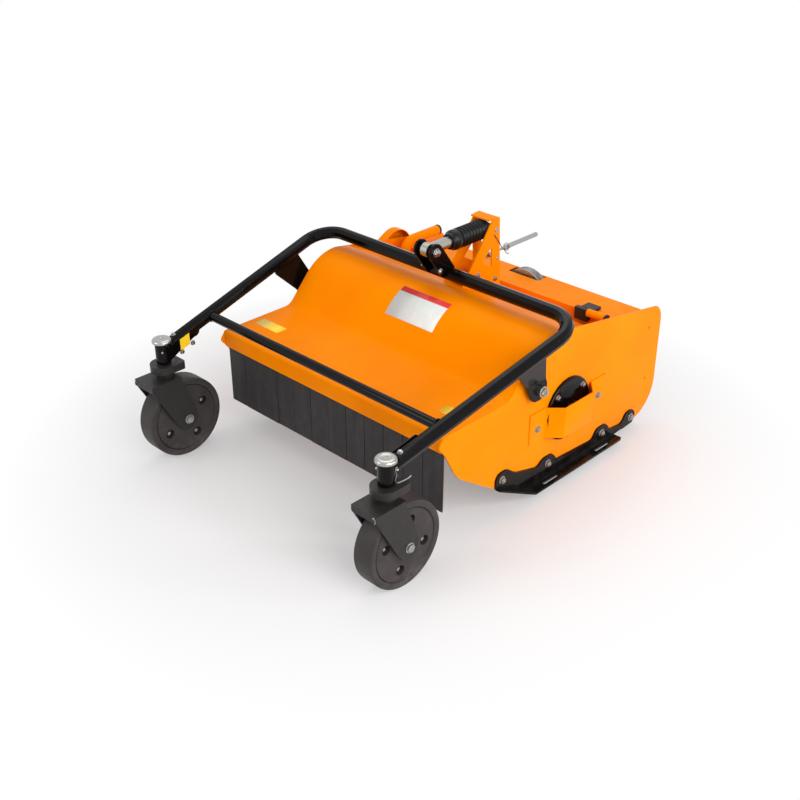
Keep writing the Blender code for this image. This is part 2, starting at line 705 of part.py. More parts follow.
def build_rotor(machine):
    y, z = ROTOR_CENTRE
    axis = empty("rotor_axis", (0, y, z), machine)
    half = DECK_HALF_WIDTH - PLATE_THICKNESS - DRUM_END_CLEARANCE
    end = DECK_HALF_WIDTH + ROTOR_SHAFT_REACH
    rotor = turned([(0.0, -end), (ROTOR_SHAFT_RADIUS, -end), (ROTOR_SHAFT_RADIUS, -half),
                    (DRUM_RADIUS, -half), (DRUM_RADIUS, half), (ROTOR_SHAFT_RADIUS, half),
                    (ROTOR_SHAFT_RADIUS, end), (0.0, end)], DRUM_SIDES)
    pitch = 2 * (half - STATION_INSET) / (HAMMER_STATIONS - 1)
    gap = SHANK_WIDTH / 2 + SHANK_PLAY
    pin_half = gap + LUG_THICKNESS / 2
    crest = HAMMER_PIN_CENTRE + LUG_CREST
    lug = [(-LUG_WIDTH / 2, DRUM_RADIUS - LUG_SINK), (LUG_WIDTH / 2, DRUM_RADIUS - LUG_SINK),
           (LUG_WIDTH / 2, HAMMER_PIN_CENTRE), (LUG_WIDTH / 4, crest), (-LUG_WIDTH / 4, crest),
           (-LUG_WIDTH / 2, HAMMER_PIN_CENTRE)]
    for station in range(HAMMER_STATIONS):
        x = STATION_INSET - half + pitch * station
        for k in range(HAMMERS_PER_STATION):
            turn = Matrix.Rotation(STATION_TURN * station + 2 * pi * k / HAMMERS_PER_STATION, 4, "X")
            pin = rod((0, HAMMER_PIN_CENTRE), HAMMER_PIN_RADIUS, "X", x - pin_half, x + pin_half, 6)
            pieces = [prism(lug, "X", x - gap - LUG_THICKNESS, x - gap),
                      prism(lug, "X", x + gap, x + gap + LUG_THICKNESS),
                      pin, placed(hammer_mesh(), (x, 0, HAMMER_PIN_CENTRE))]
            rotor = joined(rotor, *[placed(piece, turn=turn) for piece in pieces])
    publish(placed(rotor, (0, y, z)), "rotor", "raw_steel", axis, smooth=True)


def build_bearings(machine):
    start = DECK_HALF_WIDTH + SEAT_GAP
    inner = DECK_HALF_WIDTH - PLATE_THICKNESS - SHAFT_HOLE_MARGIN / 2
    bore = ROTOR_SHAFT_RADIUS + SEAT_GAP
    face = start + BEARING_BOSS_LENGTH
    profile = [(bore, inner), (BEARING_BOSS_RADIUS, inner), (BEARING_BOSS_RADIUS, start),
               (FLANGE_RADIUS, start), (FLANGE_RADIUS, start + FLANGE_THICKNESS - FLANGE_BEVEL),
               (FLANGE_RADIUS - FLANGE_BEVEL, start + FLANGE_THICKNESS),
               (BEARING_BOSS_RADIUS, start + FLANGE_THICKNESS), (BEARING_FACE, face),
               (SEAL_RADIUS, face), (SEAL_RADIUS - BEARING_STEP / 2, face - BEARING_STEP),
               (bore, face - BEARING_STEP)]
    for word in ("left", "right"):
        housing = placed(turned(profile), (0, *ROTOR_CENTRE))
        if word == "left":
            housing = mirrored(housing)
        publish(housing, "bearing_" + word, "tube_black", machine, smooth=True)


def build_guard(machine):
    """The bent guard that covers the lower half of the right bearing."""
    start = DECK_HALF_WIDTH + SEAT_GAP
    face = DECK_HALF_WIDTH + GUARD_STANDOFF
    line = [(start, GUARD_LEFT), (start, GUARD_FOOT_FRONT), (face, GUARD_FACE_FRONT),
            (face, GUARD_FACE_REAR), (start, GUARD_FOOT_REAR), (start, GUARD_RIGHT)]
    guard = prism(sheet_outline(line, GUARD_SHEET), "Z", GUARD_BOTTOM, GUARD_TOP)
    flange_room = rod(ROTOR_CENTRE, FLANGE_RADIUS + GUARD_FLANGE_ROOM, "X", start - THROUGH,
                      start + FLANGE_THICKNESS + GUARD_FLANGE_ROOM, ROUND_SIDES)
    publish(cut(guard, flange_room), "bearing_guard_right", "deck_orange", machine)


def build_belt_cover(machine):
    """The rounded cover over the drive on the left: a shell open to the side plate."""
    outer_x = -DECK_HALF_WIDTH - COVER_DEPTH
    shell = prism(belt_outline(ROTOR_CENTRE, COVER_LOWER_RADIUS, COVER_UPPER, COVER_UPPER_RADIUS),
                  "X", outer_x, -DECK_HALF_WIDTH - SEAT_GAP)
    room = prism(belt_outline(ROTOR_CENTRE, COVER_LOWER_RADIUS - COVER_SHEET,
                              COVER_UPPER, COVER_UPPER_RADIUS - COVER_SHEET),
                 "X", outer_x + COVER_SHEET, -DECK_HALF_WIDTH + THROUGH)
    publish(cut(shell, room), "belt_cover_left", "deck_orange", machine, smooth=True)


# Skids and roller

def skid_outline():
    """The skid's plate: a lug round each of its four bolts and the foot's line below."""
    (y1, z1), (y2, z2), (y3, z3), (y4, z4) = SKID_BOLTS
    r, lug, bend = SKID_LUG_RADIUS, SKID_LUG_ROUND, SKID_BEND
    low = r / 4
    return rounded([
        (y1 - r, z1 - r, low), (SKID_FOOT_FRONT, SKID_FOOT_HEIGHT, 0),
        (SKID_FOOT_REAR, SKID_FOOT_HEIGHT, 0),
        (y4 - bend, z4 - r, bend / 2), (y4 + r, z4 - r, lug), (y4 + r, z4 + r, lug),
        (y4 - r, z4 + r, bend), (y4 - r - bend, z4 - low, bend),
        (y3 + r + bend, z3 - low, bend), (y3 + r, z3 + r, lug), (y3 - r, z3 + r, lug),
        (y3 - r - bend, z3 - low, bend), (y2 + r + bend, z2 - low, bend),
        (y2 + r, z2 + r, lug), (y2 - r, z2 + r, lug), (y2 - r - bend, z2 + low, bend),
        (y1 + r + 2 * bend, z1 - low, 2 * bend), (y1 + r, z1 + r, bend),
        (y1 - r, z1 + r, lug)], FINE_STEP)


def skid_mesh():
    """The right-hand skid: a bolted plate with a folded foot, outer side towards +X."""
    inner = DECK_HALF_WIDTH + SEAT_GAP
    outer = inner + SKID_PLATE
    edge = outer + SKID_FLANGE
    heel = SKID_BOLTS[0][0] - SKID_LUG_RADIUS
    toe = SKID_BOLTS[0][1] - SKID_LUG_RADIUS
    # The foot: front ramp and flat sole, folded outward, with its free corners cut off
    ramp = [(heel + SEAT_GAP, toe), (SKID_FOOT_FRONT, SKID_FOOT_HEIGHT),
            (SKID_FOOT_REAR, SKID_FOOT_HEIGHT)]
    sole = prism(sheet_outline(ramp, -SKID_PLATE), "X", inner + SKID_PLATE / 2, edge)
    far = edge + SEAT_GAP
    trim = prism([(inner - THROUGH, heel - THROUGH), (inner - THROUGH, SKID_FOOT_REAR + THROUGH),
                  (edge - SKID_CORNER, SKID_FOOT_REAR + THROUGH),
                  (far, SKID_FOOT_REAR - SKID_CORNER), (far, SKID_FOOT_FRONT - SKID_CORNER),
                  (outer + SKID_CORNER, heel), (outer + SKID_CORNER, heel - THROUGH)],
                 "Z", -THROUGH, BOX_TOP)
    sole = combined(sole, trim, "INTERSECT")
    half = (SKID_SLOT_LENGTH - SKID_SLOT_WIDTH) / 2
    across = outer + SKID_FLANGE * SKID_SLOT_OUT
    for middle in (SKID_FOOT_FRONT + SKID_SLOT_INSET, SKID_FOOT_REAR - SKID_SLOT_INSET):
        slot = (half_round((across, middle + half), SKID_SLOT_WIDTH / 2, 0, 4)
                + half_round((across, middle - half), SKID_SLOT_WIDTH / 2, pi, 4))
        sole = cut(sole, prism(slot, "Z", 0, 2 * SKID_FOOT_HEIGHT))
    return joined(prism(skid_outline(), "X", inner, outer), sole)


def build_skids(machine):
    publish(skid_mesh(), "skid_right", "plate_black", machine)
    publish(mirrored(skid_mesh()), "skid_left", "plate_black", machine)


def build_roller(machine):
    axis = empty("roller_axis", (0, ROLLER_Y, ROLLER_RADIUS), machine)
    inside = DECK_HALF_WIDTH - PLATE_THICKNESS
    half = inside - BRACKET_THICKNESS - ROLLER_SIDE_GAP
    stub = inside - SEAT_GAP
    bevel = ROLLER_BEVEL
    roller = turned([(0.0, -stub), (ROLLER_STUB_RADIUS, -stub), (ROLLER_STUB_RADIUS, -half),
                     (ROLLER_RADIUS - bevel, -half), (ROLLER_RADIUS, -half + bevel),
                     (ROLLER_RADIUS, half - bevel), (ROLLER_RADIUS - bevel, half),
                     (ROLLER_STUB_RADIUS, half), (ROLLER_STUB_RADIUS, stub), (0.0, stub)])
    publish(placed(roller, (0, ROLLER_Y, ROLLER_RADIUS)), "rear_roller", "plate_black", axis,
            smooth=True)
    high = inside - SEAT_GAP
    low = high - BRACKET_THICKNESS
    outline = rounded([(ROLLER_Y + u, v, r) for u, v, r in BRACKET_EDGE])
    for word in ("left", "right"):
        hole = rod((ROLLER_Y, ROLLER_RADIUS), ROLLER_STUB_RADIUS + SEAT_GAP, "X",
                   low - THROUGH, high + THROUGH, ROUND_SIDES)
        plate = cut(prism(outline, "X", low, high), hole)
        if word == "left":
            plate = mirrored(plate)
        publish(plate, "roller_bracket_" + word, "plate_black", machine)


# Mast and drive

def build_mast(machine):
    """Two plates with a triangular window each, bridged at the top, and their pins."""
    top_y, top_z = MAST_TOP
    front, rear = MAST_FOOT
    outline = rounded([(front, hood_height(front) + SEAT_GAP, 0),
                       (rear, hood_height(rear) + SEAT_GAP, 0),
                       (top_y, top_z, MAST_PLATE), (top_y - MAST_CREST, top_z, MAST_PLATE)])
    window = rounded([(top_y - u, top_z - v, r) for u, v, r in MAST_WINDOW])
    half = MAST_HALF_WIDTH
    bridge = block((-half + MAST_PLATE / 2, top_y - MAST_BRIDGE, top_z - MAST_PLATE),
                   (half - MAST_PLATE / 2, top_y - MAST_PLATE, top_z - SEAT_GAP))
    mast = joined(prism(outline, "X", -half, MAST_PLATE - half), bridge,
                  prism(outline, "X", half - MAST_PLATE, half))
    side = half + THROUGH
    mast = cut(mast, prism(window, "X", -side, side),
               rod(MAST_PIN, MAST_PIN_RADIUS + SEAT_GAP, "X", -side, side),
               rod(HITCH_PIN, HITCH_PIN_RADIUS + SEAT_GAP, "X", -side, side, 12))
    publish(mast, "mast", "deck_orange", machine)
    reach = half + MAST_PIN_PROUD
    publish(rod(MAST_PIN, MAST_PIN_RADIUS, "X", -reach, reach), "mast_pin", "bright_zinc",
            machine, smooth=True)

    # Hitch rod: an eye on its own pin, a thin neck, a ring and the long rod
    publish(rod(HITCH_PIN, HITCH_PIN_RADIUS, "X", -reach, reach, 12), "hitch_pin",
            "bright_zinc", machine, smooth=True)
    y, z = HITCH_PIN
    eye = rod(HITCH_PIN, HITCH_EYE_RADIUS, "X", -HITCH_RING_HALF, HITCH_RING_HALF)
    neck = rod((0, z), HITCH_NECK_RADIUS, "Y", y + HITCH_PIN_RADIUS + HITCH_NECK_RADIUS,
               HITCH_RING_Y, 12)
    ring = rod((HITCH_RING_Y, z), HITCH_RING_RADIUS, "X", -HITCH_RING_HALF, HITCH_RING_HALF)
    bar = rod((0, z), HITCH_ROD_RADIUS, "Y", HITCH_RING_Y + HITCH_RING_HALF, HITCH_ROD_REAR)
    hitch = joined(eye, neck, ring, bar)
    hitch = cut(hitch, rod(HITCH_PIN, HITCH_PIN_RADIUS + SEAT_GAP, "X", -side, side, 12),
                rod((HITCH_RING_Y, z), HITCH_RING_RADIUS / 2, "X", -side, side, 12))
    publish(hitch, "hitch_rod", "bright_zinc", machine, smooth=True)


def build_drive(machine):
    shaft_z = PULLEY_TOP - PULLEY_RADIUS
    axis = empty("pulley_axis", (PULLEY_X, PULLEY_Y, shaft_z), machine)
    half = PULLEY_WIDTH / 2
    root = PULLEY_RADIUS - PULLEY_GROOVE
    start = INPUT_BEARING_FRONT + PULLEY_RIM - PULLEY_Y
    end = half + INPUT_SHAFT_PROUD
    pulley = turned([(0.0, start), (INPUT_SHAFT_RADIUS, start), (INPUT_SHAFT_RADIUS, -half),
                     (PULLEY_RADIUS, -half), (PULLEY_RADIUS, -half + PULLEY_RIM),
                     (root, -PULLEY_RIM), (root, PULLEY_RIM), (PULLEY_RADIUS, half - PULLEY_RIM),
                     (PULLEY_RADIUS, half), (INPUT_SHAFT_RADIUS, half),
                     (INPUT_SHAFT_RADIUS, end), (0.0, end)])
    pulley = placed(pulley, (PULLEY_X, PULLEY_Y, shaft_z), Matrix.Rotation(pi / 2, 4, "Z"))
    publish(pulley, "drive_pulley", "cast_grey", axis, smooth=True)
    floor = BOX_TOP - BOX_DEPTH + BOX_WALL + SEAT_GAP
    bearing = block((PULLEY_X - INPUT_BEARING_HALF, INPUT_BEARING_FRONT, floor),
                    (PULLEY_X + INPUT_BEARING_HALF, INPUT_BEARING_REAR,
                     BOX_TOP - BOX_WALL - SEAT_GAP))
    bore = rod((PULLEY_X, shaft_z), INPUT_SHAFT_RADIUS + SEAT_GAP, "Y",
               INPUT_BEARING_FRONT - THROUGH, INPUT_BEARING_REAR + THROUGH, ROUND_SIDES)
    publish(cut(bearing, bore), "input_bearing", "cast_grey", machine)


def build_fittings(machine):
    """The bent support tube with its cap, the latch and the stop bar by the box."""
    foot = hood_height(SUPPORT_Y) - THROUGH
    path = bent_path([(SUPPORT_X, SUPPORT_Y, foot), (SUPPORT_X, SUPPORT_Y, SUPPORT_HEIGHT),
                      (SUPPORT_X, SUPPORT_REAR, SUPPORT_HEIGHT)], SUPPORT_BEND)
    publish(cut(tube_mesh(path, SUPPORT_RADIUS), hood_wedge()), "support_tube", "deck_orange",
            machine, smooth=True)
    cap = rod((SUPPORT_X, SUPPORT_HEIGHT), SUPPORT_RADIUS + SEAT_GAP, "Y",
              SUPPORT_REAR + SEAT_GAP, SUPPORT_REAR + SUPPORT_CAP)
    publish(cap, "support_cap", "rubber_grey", machine, smooth=True)

    pad_low = BOX_TOP + SEAT_GAP
    front = block((LATCH_LOWER[0], LATCH_FRONT, BOX_TOP - LATCH_DROP),
                  (LATCH_LOWER[1], BOX_FRONT - SEAT_GAP, LATCH_TOP))
    strap = block((LATCH_UPPER[0], LATCH_FRONT + SEAT_GAP, pad_low + SEAT_GAP),
                  (LATCH_LOWER[1] - SEAT_GAP, LATCH_PAD[0] + LATCH_PAD_HEIGHT,
                   pad_low + LATCH_PAD_HEIGHT / 2))
    pad = block((LATCH_UPPER[0] + SEAT_GAP, LATCH_PAD[0], pad_low),
                (LATCH_UPPER[1], LATCH_PAD[1], pad_low + LATCH_PAD_HEIGHT))
    publish(joined(front, strap, pad), "latch", "plate_black", machine)

    spot = (BOX_FRONT - SEAT_GAP - KNOB_RADIUS, KNOB_HEIGHT)
    publish(rod(spot, STOP_RADIUS, "X", LATCH_LOWER[1] + SEAT_GAP, KNOB_X), "stop_bar",
            "deck_orange", machine, smooth=True)
    publish(rod(spot, KNOB_RADIUS, "X", KNOB_X + SEAT_GAP, KNOB_X + KNOB_LENGTH), "knob",
            "plate_black", machine, smooth=True)


# Caster frame

def tube_axis_at(y):
    """x and z of the right side member's axis at a place along the machine."""
    share = (y - STEM_Y) / (BACK_Y - STEM_Y)
    return (STEM_X + (BACK_HALF_WIDTH - STEM_X) * share,
            TUBE_STEM_HEIGHT + (BACK_HEIGHT - TUBE_STEM_HEIGHT) * share)


def build_frame(machine):
    pivot = empty("frame_pivot", (0, *PIVOT), machine)
    start_y = STEM_Y + SLEEVE_RADIUS / 2
    x0, z0 = tube_axis_at(start_y)
    path = bent_path([(-x0, start_y, z0), (-BACK_HALF_WIDTH, BACK_Y, BACK_HEIGHT),
                      (BACK_HALF_WIDTH, BACK_Y, BACK_HEIGHT), (x0, start_y, z0)], CORNER_BEND)
    tube = tube_mesh(path, TUBE_RADIUS)
    for side in (-1, 1):
        centre = (side * STEM_X, STEM_Y)
        tube = cut(tube, rod(centre, SLEEVE_RADIUS + SEAT_GAP, "Z", COLLAR_TOP, CAP_TOP + THROUGH,
                             ROUND_SIDES), cap_room(side))
    publish(tube, "tube_frame", "tube_black", pivot, smooth=True)

    bar_x, bar_z = tube_axis_at(CROSSBAR_Y)
    bar = rod((CROSSBAR_Y, bar_z), CROSSBAR_RADIUS, "X", -bar_x, bar_x)
    bar = cut(bar, tube_mesh(path, TUBE_RADIUS + SEAT_GAP))
    publish(bar, "crossbar", "tube_black", pivot, smooth=True)

    for word in ("left", "right"):
        pieces = [(arm_mesh(path), "pivot_arm_", "plate_black", pivot, False),
                  (pivot_bolt_mesh(), "pivot_bolt_", "bright_zinc", machine, True),
                  (sleeve_mesh(), "stem_sleeve_", "plate_black", pivot, True)]
        for mesh, name, finish_name, carrier, smooth in pieces:
            if word == "left":
                mesh = mirrored(mesh)
            publish(mesh, name + word, finish_name, carrier, smooth)

    publish(link_lugs_mesh(path), "link_lugs", "tube_black", pivot)
    low, high = -LINK_LUG_HALF - PIN_PROUD, LINK_LUG_HALF + PIN_PROUD
    lug_pin = rod(LINK_PIN, LINK_PIN_RADIUS, "X", low, high)
    head = rod(LINK_PIN, LINK_PIN_HEAD, "X", LINK_LUG_HALF + SEAT_GAP, high - SEAT_GAP, 6)
    publish(joined(lug_pin, head), "link_pin", "bright_zinc", pivot)
    return pivot


def cap_room(side):
    """The room that the cap over the sleeve needs to turn in."""
    return rod((side * STEM_X, STEM_Y), CAP_RADIUS + CAP_CLEARANCE, "Z",
               SLEEVE_TOP - CAP_DIMPLE, CAP_TOP + THROUGH, ROUND_SIDES)


def pivot_bolt_mesh():
    """The right pivot bolt: spacer behind the arm, shank and washer outside it."""
    start = DECK_HALF_WIDTH + SEAT_GAP
    arm = DECK_HALF_WIDTH + ARM_STANDOFF
    face = arm + ARM_THICKNESS + SEAT_GAP
    shank = rod(PIVOT, PIVOT_BOLT_RADIUS, "X", start, face + PIVOT_HEAD_LENGTH + SEAT_GAP)
    washer = rod(PIVOT, PIVOT_HEAD_RADIUS, "X", face, face + PIVOT_HEAD_LENGTH)
    spacer = rod(PIVOT, PIVOT_HEAD_RADIUS, "X", start + SEAT_GAP, arm - SEAT_GAP)
    return joined(shank, washer, spacer)


def arm_mesh(path):
    """The right pivot arm: an eye on the bolt, leaning forward and out to the tube."""
    y, z = PIVOT
    r = ARM_EYE_RADIUS
    low = DECK_HALF_WIDTH + ARM_STANDOFF
    front, rear = y - ARM_FRONT, y - ARM_REAR
    front_z, rear_z = tube_axis_at(front)[1], tube_axis_at(rear)[1]
    outline = rounded([(y - r, z - r, r * 0.98), (y + r, z - r, r * 0.98),
                       (y + r, z + r / 2, r / 3), (rear, rear_z, 0), (front, front_z, 0),
                       (front, front_z - TUBE_RADIUS * 1.4, r / 3), (y - 2 * r, z + r, r)])
    arm = prism(outline, "X", low, low + ARM_THICKNESS)
    fold = z + ARM_FOLD
    tube_x, tube_z = tube_axis_at((front + rear) / 2)
    lean = (tube_x - low - ARM_THICKNESS / 2) / (tube_z - fold)
    bm = bmesh.new()
    bm.from_mesh(arm)
    bmesh.ops.bisect_plane(bm, geom=bm.verts[:] + bm.edges[:] + bm.faces[:],
                           plane_co=(0, 0, fold), plane_no=(0, 0, 1), dist=0.00001)
    for vert in bm.verts:
        vert.co.x += max(0.0, vert.co.z - fold) * lean
    bm.to_mesh(arm)
    bm.free()
    hole = rod(PIVOT, PIVOT_BOLT_RADIUS + SEAT_GAP, "X", low - THROUGH, low + THROUGH)
    return cut(arm, hole, tube_mesh(path, TUBE_RADIUS + SEAT_GAP))


def sleeve_mesh():
    """The right stem sleeve, with the inner plate that holds the tube's end."""
    spread = (BACK_HALF_WIDTH - STEM_X) / (BACK_Y - STEM_Y)
    front, rear = STEM_Y - SLEEVE_RADIUS / 4, STEM_Y + STEM_PLATE_LENGTH
    front_z, rear_z = tube_axis_at(front)[1], tube_axis_at(rear)[1]
    tail = STEM_PLATE_TAIL
    outline = rounded([(front, front_z - STEM_PLATE_BELOW, 0),
                       (rear - tail, rear_z - tail, tail / 3), (rear, rear_z - tail, tail * 0.8),
                       (rear, rear_z + STEM_PLATE_ABOVE, tail / 2),
                       (front, front_z + STEM_PLATE_ABOVE, 0)])
    sleeve = rod((STEM_X, STEM_Y), SLEEVE_RADIUS, "Z", SLEEVE_BOTTOM, SLEEVE_TOP, ROUND_SIDES)
    high = STEM_X - TUBE_RADIUS - SEAT_GAP
    plate = prism(outline, "X", high - STEM_PLATE, high)
    for vert in plate.vertices:
        vert.co.x += (vert.co.y - STEM_Y) * spread
    sleeve = joined(sleeve, cut(plate, cap_room(1)))
    return cut(sleeve, rod((STEM_X, STEM_Y), STEM_RADIUS + SEAT_GAP, "Z", COLLAR_TOP, CAP_TOP))


def link_lugs_mesh(path):
    """Two lugs standing on the back tube and leaning forward to the link pin."""
    back = TUBE_RADIUS + SEAT_GAP
    lean = atan2(LUG_RISE, -LUG_LEAN)
    outline = (half_round((BACK_Y, BACK_HEIGHT), LINK_LUG_FOOT, lean + pi / 2, LUG_PARTS)
               + half_round(LINK_PIN, LINK_LUG_RADIUS, lean - pi / 2, LUG_PARTS))
    half = LINK_LUG_HALF
    lugs = rod((BACK_Y, BACK_HEIGHT), back + LINK_SADDLE, "X", -half, half)
    for low in (-half, half - LINK_LUG_PLATE):
        lugs = joined(lugs, prism(outline, "X", low, low + LINK_LUG_PLATE))
    far = 2 * LINK_LUG_FOOT
    below = block((-far, BACK_Y - far, BACK_HEIGHT - far),
                  (far, BACK_Y + far, BACK_HEIGHT - SADDLE_CUT))
    pin_hole = rod(LINK_PIN, LINK_PIN_RADIUS + SEAT_GAP, "X", -far, far)
    return cut(lugs, below, tube_mesh(path, back), pin_hole)


# Height screw

def across(radius, half, along=0.0, sides=PIN_SIDES):
    """A round bar across the screw, which runs along local +X."""
    return placed(rod((0, 0), radius, "X", -half, half, sides), (along, 0, 0),
                  Matrix.Rotation(pi / 2, 4, "Z"))


def build_link(machine):
    """The rod on the link pin, the bellows over the screw and the head on the mast pin."""
    mast_pin = Vector((0, *MAST_PIN))
    lug_pin = Vector((0, *LINK_PIN))
    run = mast_pin - lug_pin
    length = run.length
    turn = Matrix.Rotation(atan2(run.z, run.y), 4, "X") @ Matrix.Rotation(pi / 2, 4, "Z")
    hinge = empty("link_hinge", tuple(mast_pin), machine)
    slide = empty("rod_slide", tuple(lug_pin), hinge)

    start, end = BELLOWS_START, length - BELLOWS_END
    bore = ROD_RADIUS + SEAT_GAP
    body = (BELLOWS_RADIUS + BELLOWS_ROOT) / 2
    ribs = start + BELLOWS_CUFF
    pitch = (end - ribs) / BELLOWS_RIBS
    profile = [(bore, start), (body - pitch / 3, start), (body, start + pitch / 3),
               (BELLOWS_RADIUS, start + pitch), (BELLOWS_RADIUS, ribs - pitch / 2),
               (BELLOWS_ROOT, ribs)]
    for k in range(BELLOWS_RIBS):
        at = ribs + pitch * k
        profile += [(BELLOWS_RADIUS, at + pitch * 0.35), (BELLOWS_RADIUS, at + pitch * 0.65),
                    (BELLOWS_ROOT, at + pitch)]
    profile.append((bore, end))
    publish(placed(turned(profile, BELLOWS_SIDES), lug_pin, turn), "bellows", "rubber_grey",
            hinge, smooth=True)

    head = joined(across(HEAD_EYE_RADIUS, HEAD_EYE_HALF, length),
                  rod((0, 0), ROD_RADIUS, "X", end + SEAT_GAP, length - SEAT_GAP))
    head = cut(head, across(MAST_PIN_RADIUS + SEAT_GAP, MAST_HALF_WIDTH, length))
    publish(placed(head, lug_pin, turn), "screw_head", "plate_black", hinge, smooth=True)

    shank = rod((0, 0), ROD_RADIUS, "X", LINK_PIN_RADIUS + ROD_EYE_PLAY, start + ROD_REACH)
    bar = joined(across(ROD_EYE_RADIUS, ROD_EYE_HALF, 0.0, ROUND_SIDES), shank)
    bar = cut(bar, across(LINK_PIN_RADIUS + ROD_EYE_PLAY, LINK_LUG_HALF))
    publish(placed(bar, lug_pin, turn), "height_rod", "bright_zinc", slide, smooth=True)


# Casters

def fork_mesh():
    """The right caster's fork: stem, collar on its neck, crown, front flange and legs."""
    x, axle_y, top = STEM_X, STEM_Y + TRAIL, CROWN_PLATE_TOP
    front, rear = STEM_Y - FORK_FRONT, STEM_Y + FORK_REAR
    outer = FORK_INSIDE + FORK_PLATE
    stem = rod((x, STEM_Y), STEM_RADIUS, "Z", top - FORK_PLATE / 2, SLEEVE_TOP + STEM_PROUD)
    nose, corner = COLLAR_HALF_WIDTH * 0.95, COLLAR_HALF_WIDTH / 4
    collar = prism([(x + u, STEM_Y + COLLAR_OFFSET + v) for u, v in
                    rounded([(-COLLAR_HALF_WIDTH, -COLLAR_HALF_LENGTH, nose),
                             (COLLAR_HALF_WIDTH, -COLLAR_HALF_LENGTH, nose),
                             (COLLAR_HALF_WIDTH, COLLAR_HALF_LENGTH, corner),
                             (-COLLAR_HALF_WIDTH, COLLAR_HALF_LENGTH, corner)])],
                   "Z", COLLAR_BOTTOM, COLLAR_TOP)
    neck = rod((x, STEM_Y), NECK_RADIUS, "Z", top - FORK_PLATE / 3,
               COLLAR_BOTTOM + COLLAR_HEIGHT / 3, ROUND_SIDES)
    crown = block((x - outer, front, top - FORK_PLATE), (x + outer, rear, top + SEAT_GAP))
    edge = outer - FORK_PLATE / 3
    flange = prism([(x - outer, top - SEAT_GAP), (x + outer, top - SEAT_GAP),
                    (x + outer, top - FORK_FLANGE / 2), (x + edge, top - FORK_FLANGE),
                    (x - edge, top - FORK_FLANGE), (x - outer, top - FORK_FLANGE / 2)],
                   "Y", front, front + FORK_PLATE)
    fork = joined(collar, neck, stem, crown, flange)
    end = FORK_END
    leg = rounded([(front, top, 0), (front, top - FORK_SHOULDER, end / 4),
                   (axle_y - end * 1.3, WHEEL_RADIUS, end),
                   (axle_y - end * 0.6, WHEEL_RADIUS - end, end / 2),
                   (axle_y + end * 0.7, WHEEL_RADIUS - end, end * 0.7),
                   (axle_y + end, WHEEL_RADIUS + end / 3, end * 0.8),
                   (rear, top - FORK_SHOULDER / 2, end / 8), (rear, top, 0)])
    for low in (-outer, FORK_INSIDE):
        fork = joined(fork, prism(leg, "X", x + low, x + low + FORK_PLATE))
    return cut(fork, rod((axle_y, WHEEL_RADIUS), AXLE_RADIUS + SEAT_GAP, "X",
                         x - 2 * outer, x + 2 * outer))


def cap_mesh():
    low = SLEEVE_TOP + STEM_PROUD + SEAT_GAP
    floor = CAP_TOP - CAP_DIMPLE
    dome = [(0.0, low), (CAP_RADIUS, low), (CAP_RADIUS, CAP_TOP - CAP_BEVEL),
            (CAP_RADIUS - CAP_BEVEL, CAP_TOP), (CAP_RADIUS / 2, CAP_TOP),
            (CAP_RADIUS / 2 - CAP_DIMPLE, floor), (0.0, floor)]
    return placed(turned(dome), (STEM_X, STEM_Y, 0), Matrix.Rotation(-pi / 2, 4, "Y"))


def axle_mesh():
    spot = (STEM_Y + TRAIL, WHEEL_RADIUS)
    outer = FORK_INSIDE + FORK_PLATE
    reach = outer + AXLE_HEAD_LENGTH
    axle = rod(spot, AXLE_RADIUS, "X", STEM_X - reach - SEAT_GAP, STEM_X + reach + SEAT_GAP)
    heads = [rod(spot, AXLE_HEAD_RADIUS, "X", STEM_X + low, STEM_X + high, 6)
             for low, high in ((outer + SEAT_GAP, reach), (-reach, -outer - SEAT_GAP))]
    return joined(axle, *heads)


def wheel_place():
    return (STEM_X, STEM_Y + TRAIL, WHEEL_RADIUS)


def tyre_mesh():
    w, r = WHEEL_HALF_WIDTH, WHEEL_RADIUS
    seat = (RIM_RADIUS + SEAT_GAP) / cos(pi / TYRE_SIDES)
    bevel, shoulder = RIM_BEVEL, TYRE_SHOULDER
    side = [(seat, w - 1.5 * bevel), (seat + bevel, w - bevel / 2), (r - 0.6 * shoulder, w),
            (r - 0.15 * shoulder, w - 0.4 * shoulder), (r, w - shoulder)]
    profile = [(radius, -along) for radius, along in side] + side[::-1]
    return placed(turned(profile, TYRE_SIDES), wheel_place())


def hub_mesh(turn):
    face = WHEEL_HALF_WIDTH - HUB_SHOULDER
    tip = WHEEL_HALF_WIDTH + HUB_BOSS_PROUD
    bore = AXLE_RADIUS + SEAT_GAP
    side = [(bore, tip), (HUB_BOSS_RADIUS, tip), (HUB_BOSS_RADIUS, face),
            (RIM_RADIUS - RIM_BEVEL, face), (RIM_RADIUS, face - RIM_BEVEL)]
    hub = turned([(radius, -along) for radius, along in side] + side[::-1])
    for k in range(HUB_HOLES):
        angle = turn + 2 * pi * k / HUB_HOLES
        spot = (HUB_HOLE_CIRCLE * cos(angle), HUB_HOLE_CIRCLE * sin(angle))
        for low, high in ((face - HUB_POCKET, 2 * tip), (-2 * tip, HUB_POCKET - face)):
            hub = cut(hub, rod(spot, HUB_HOLE_RADIUS, "X", low, high, 12))
    return placed(hub, wheel_place())


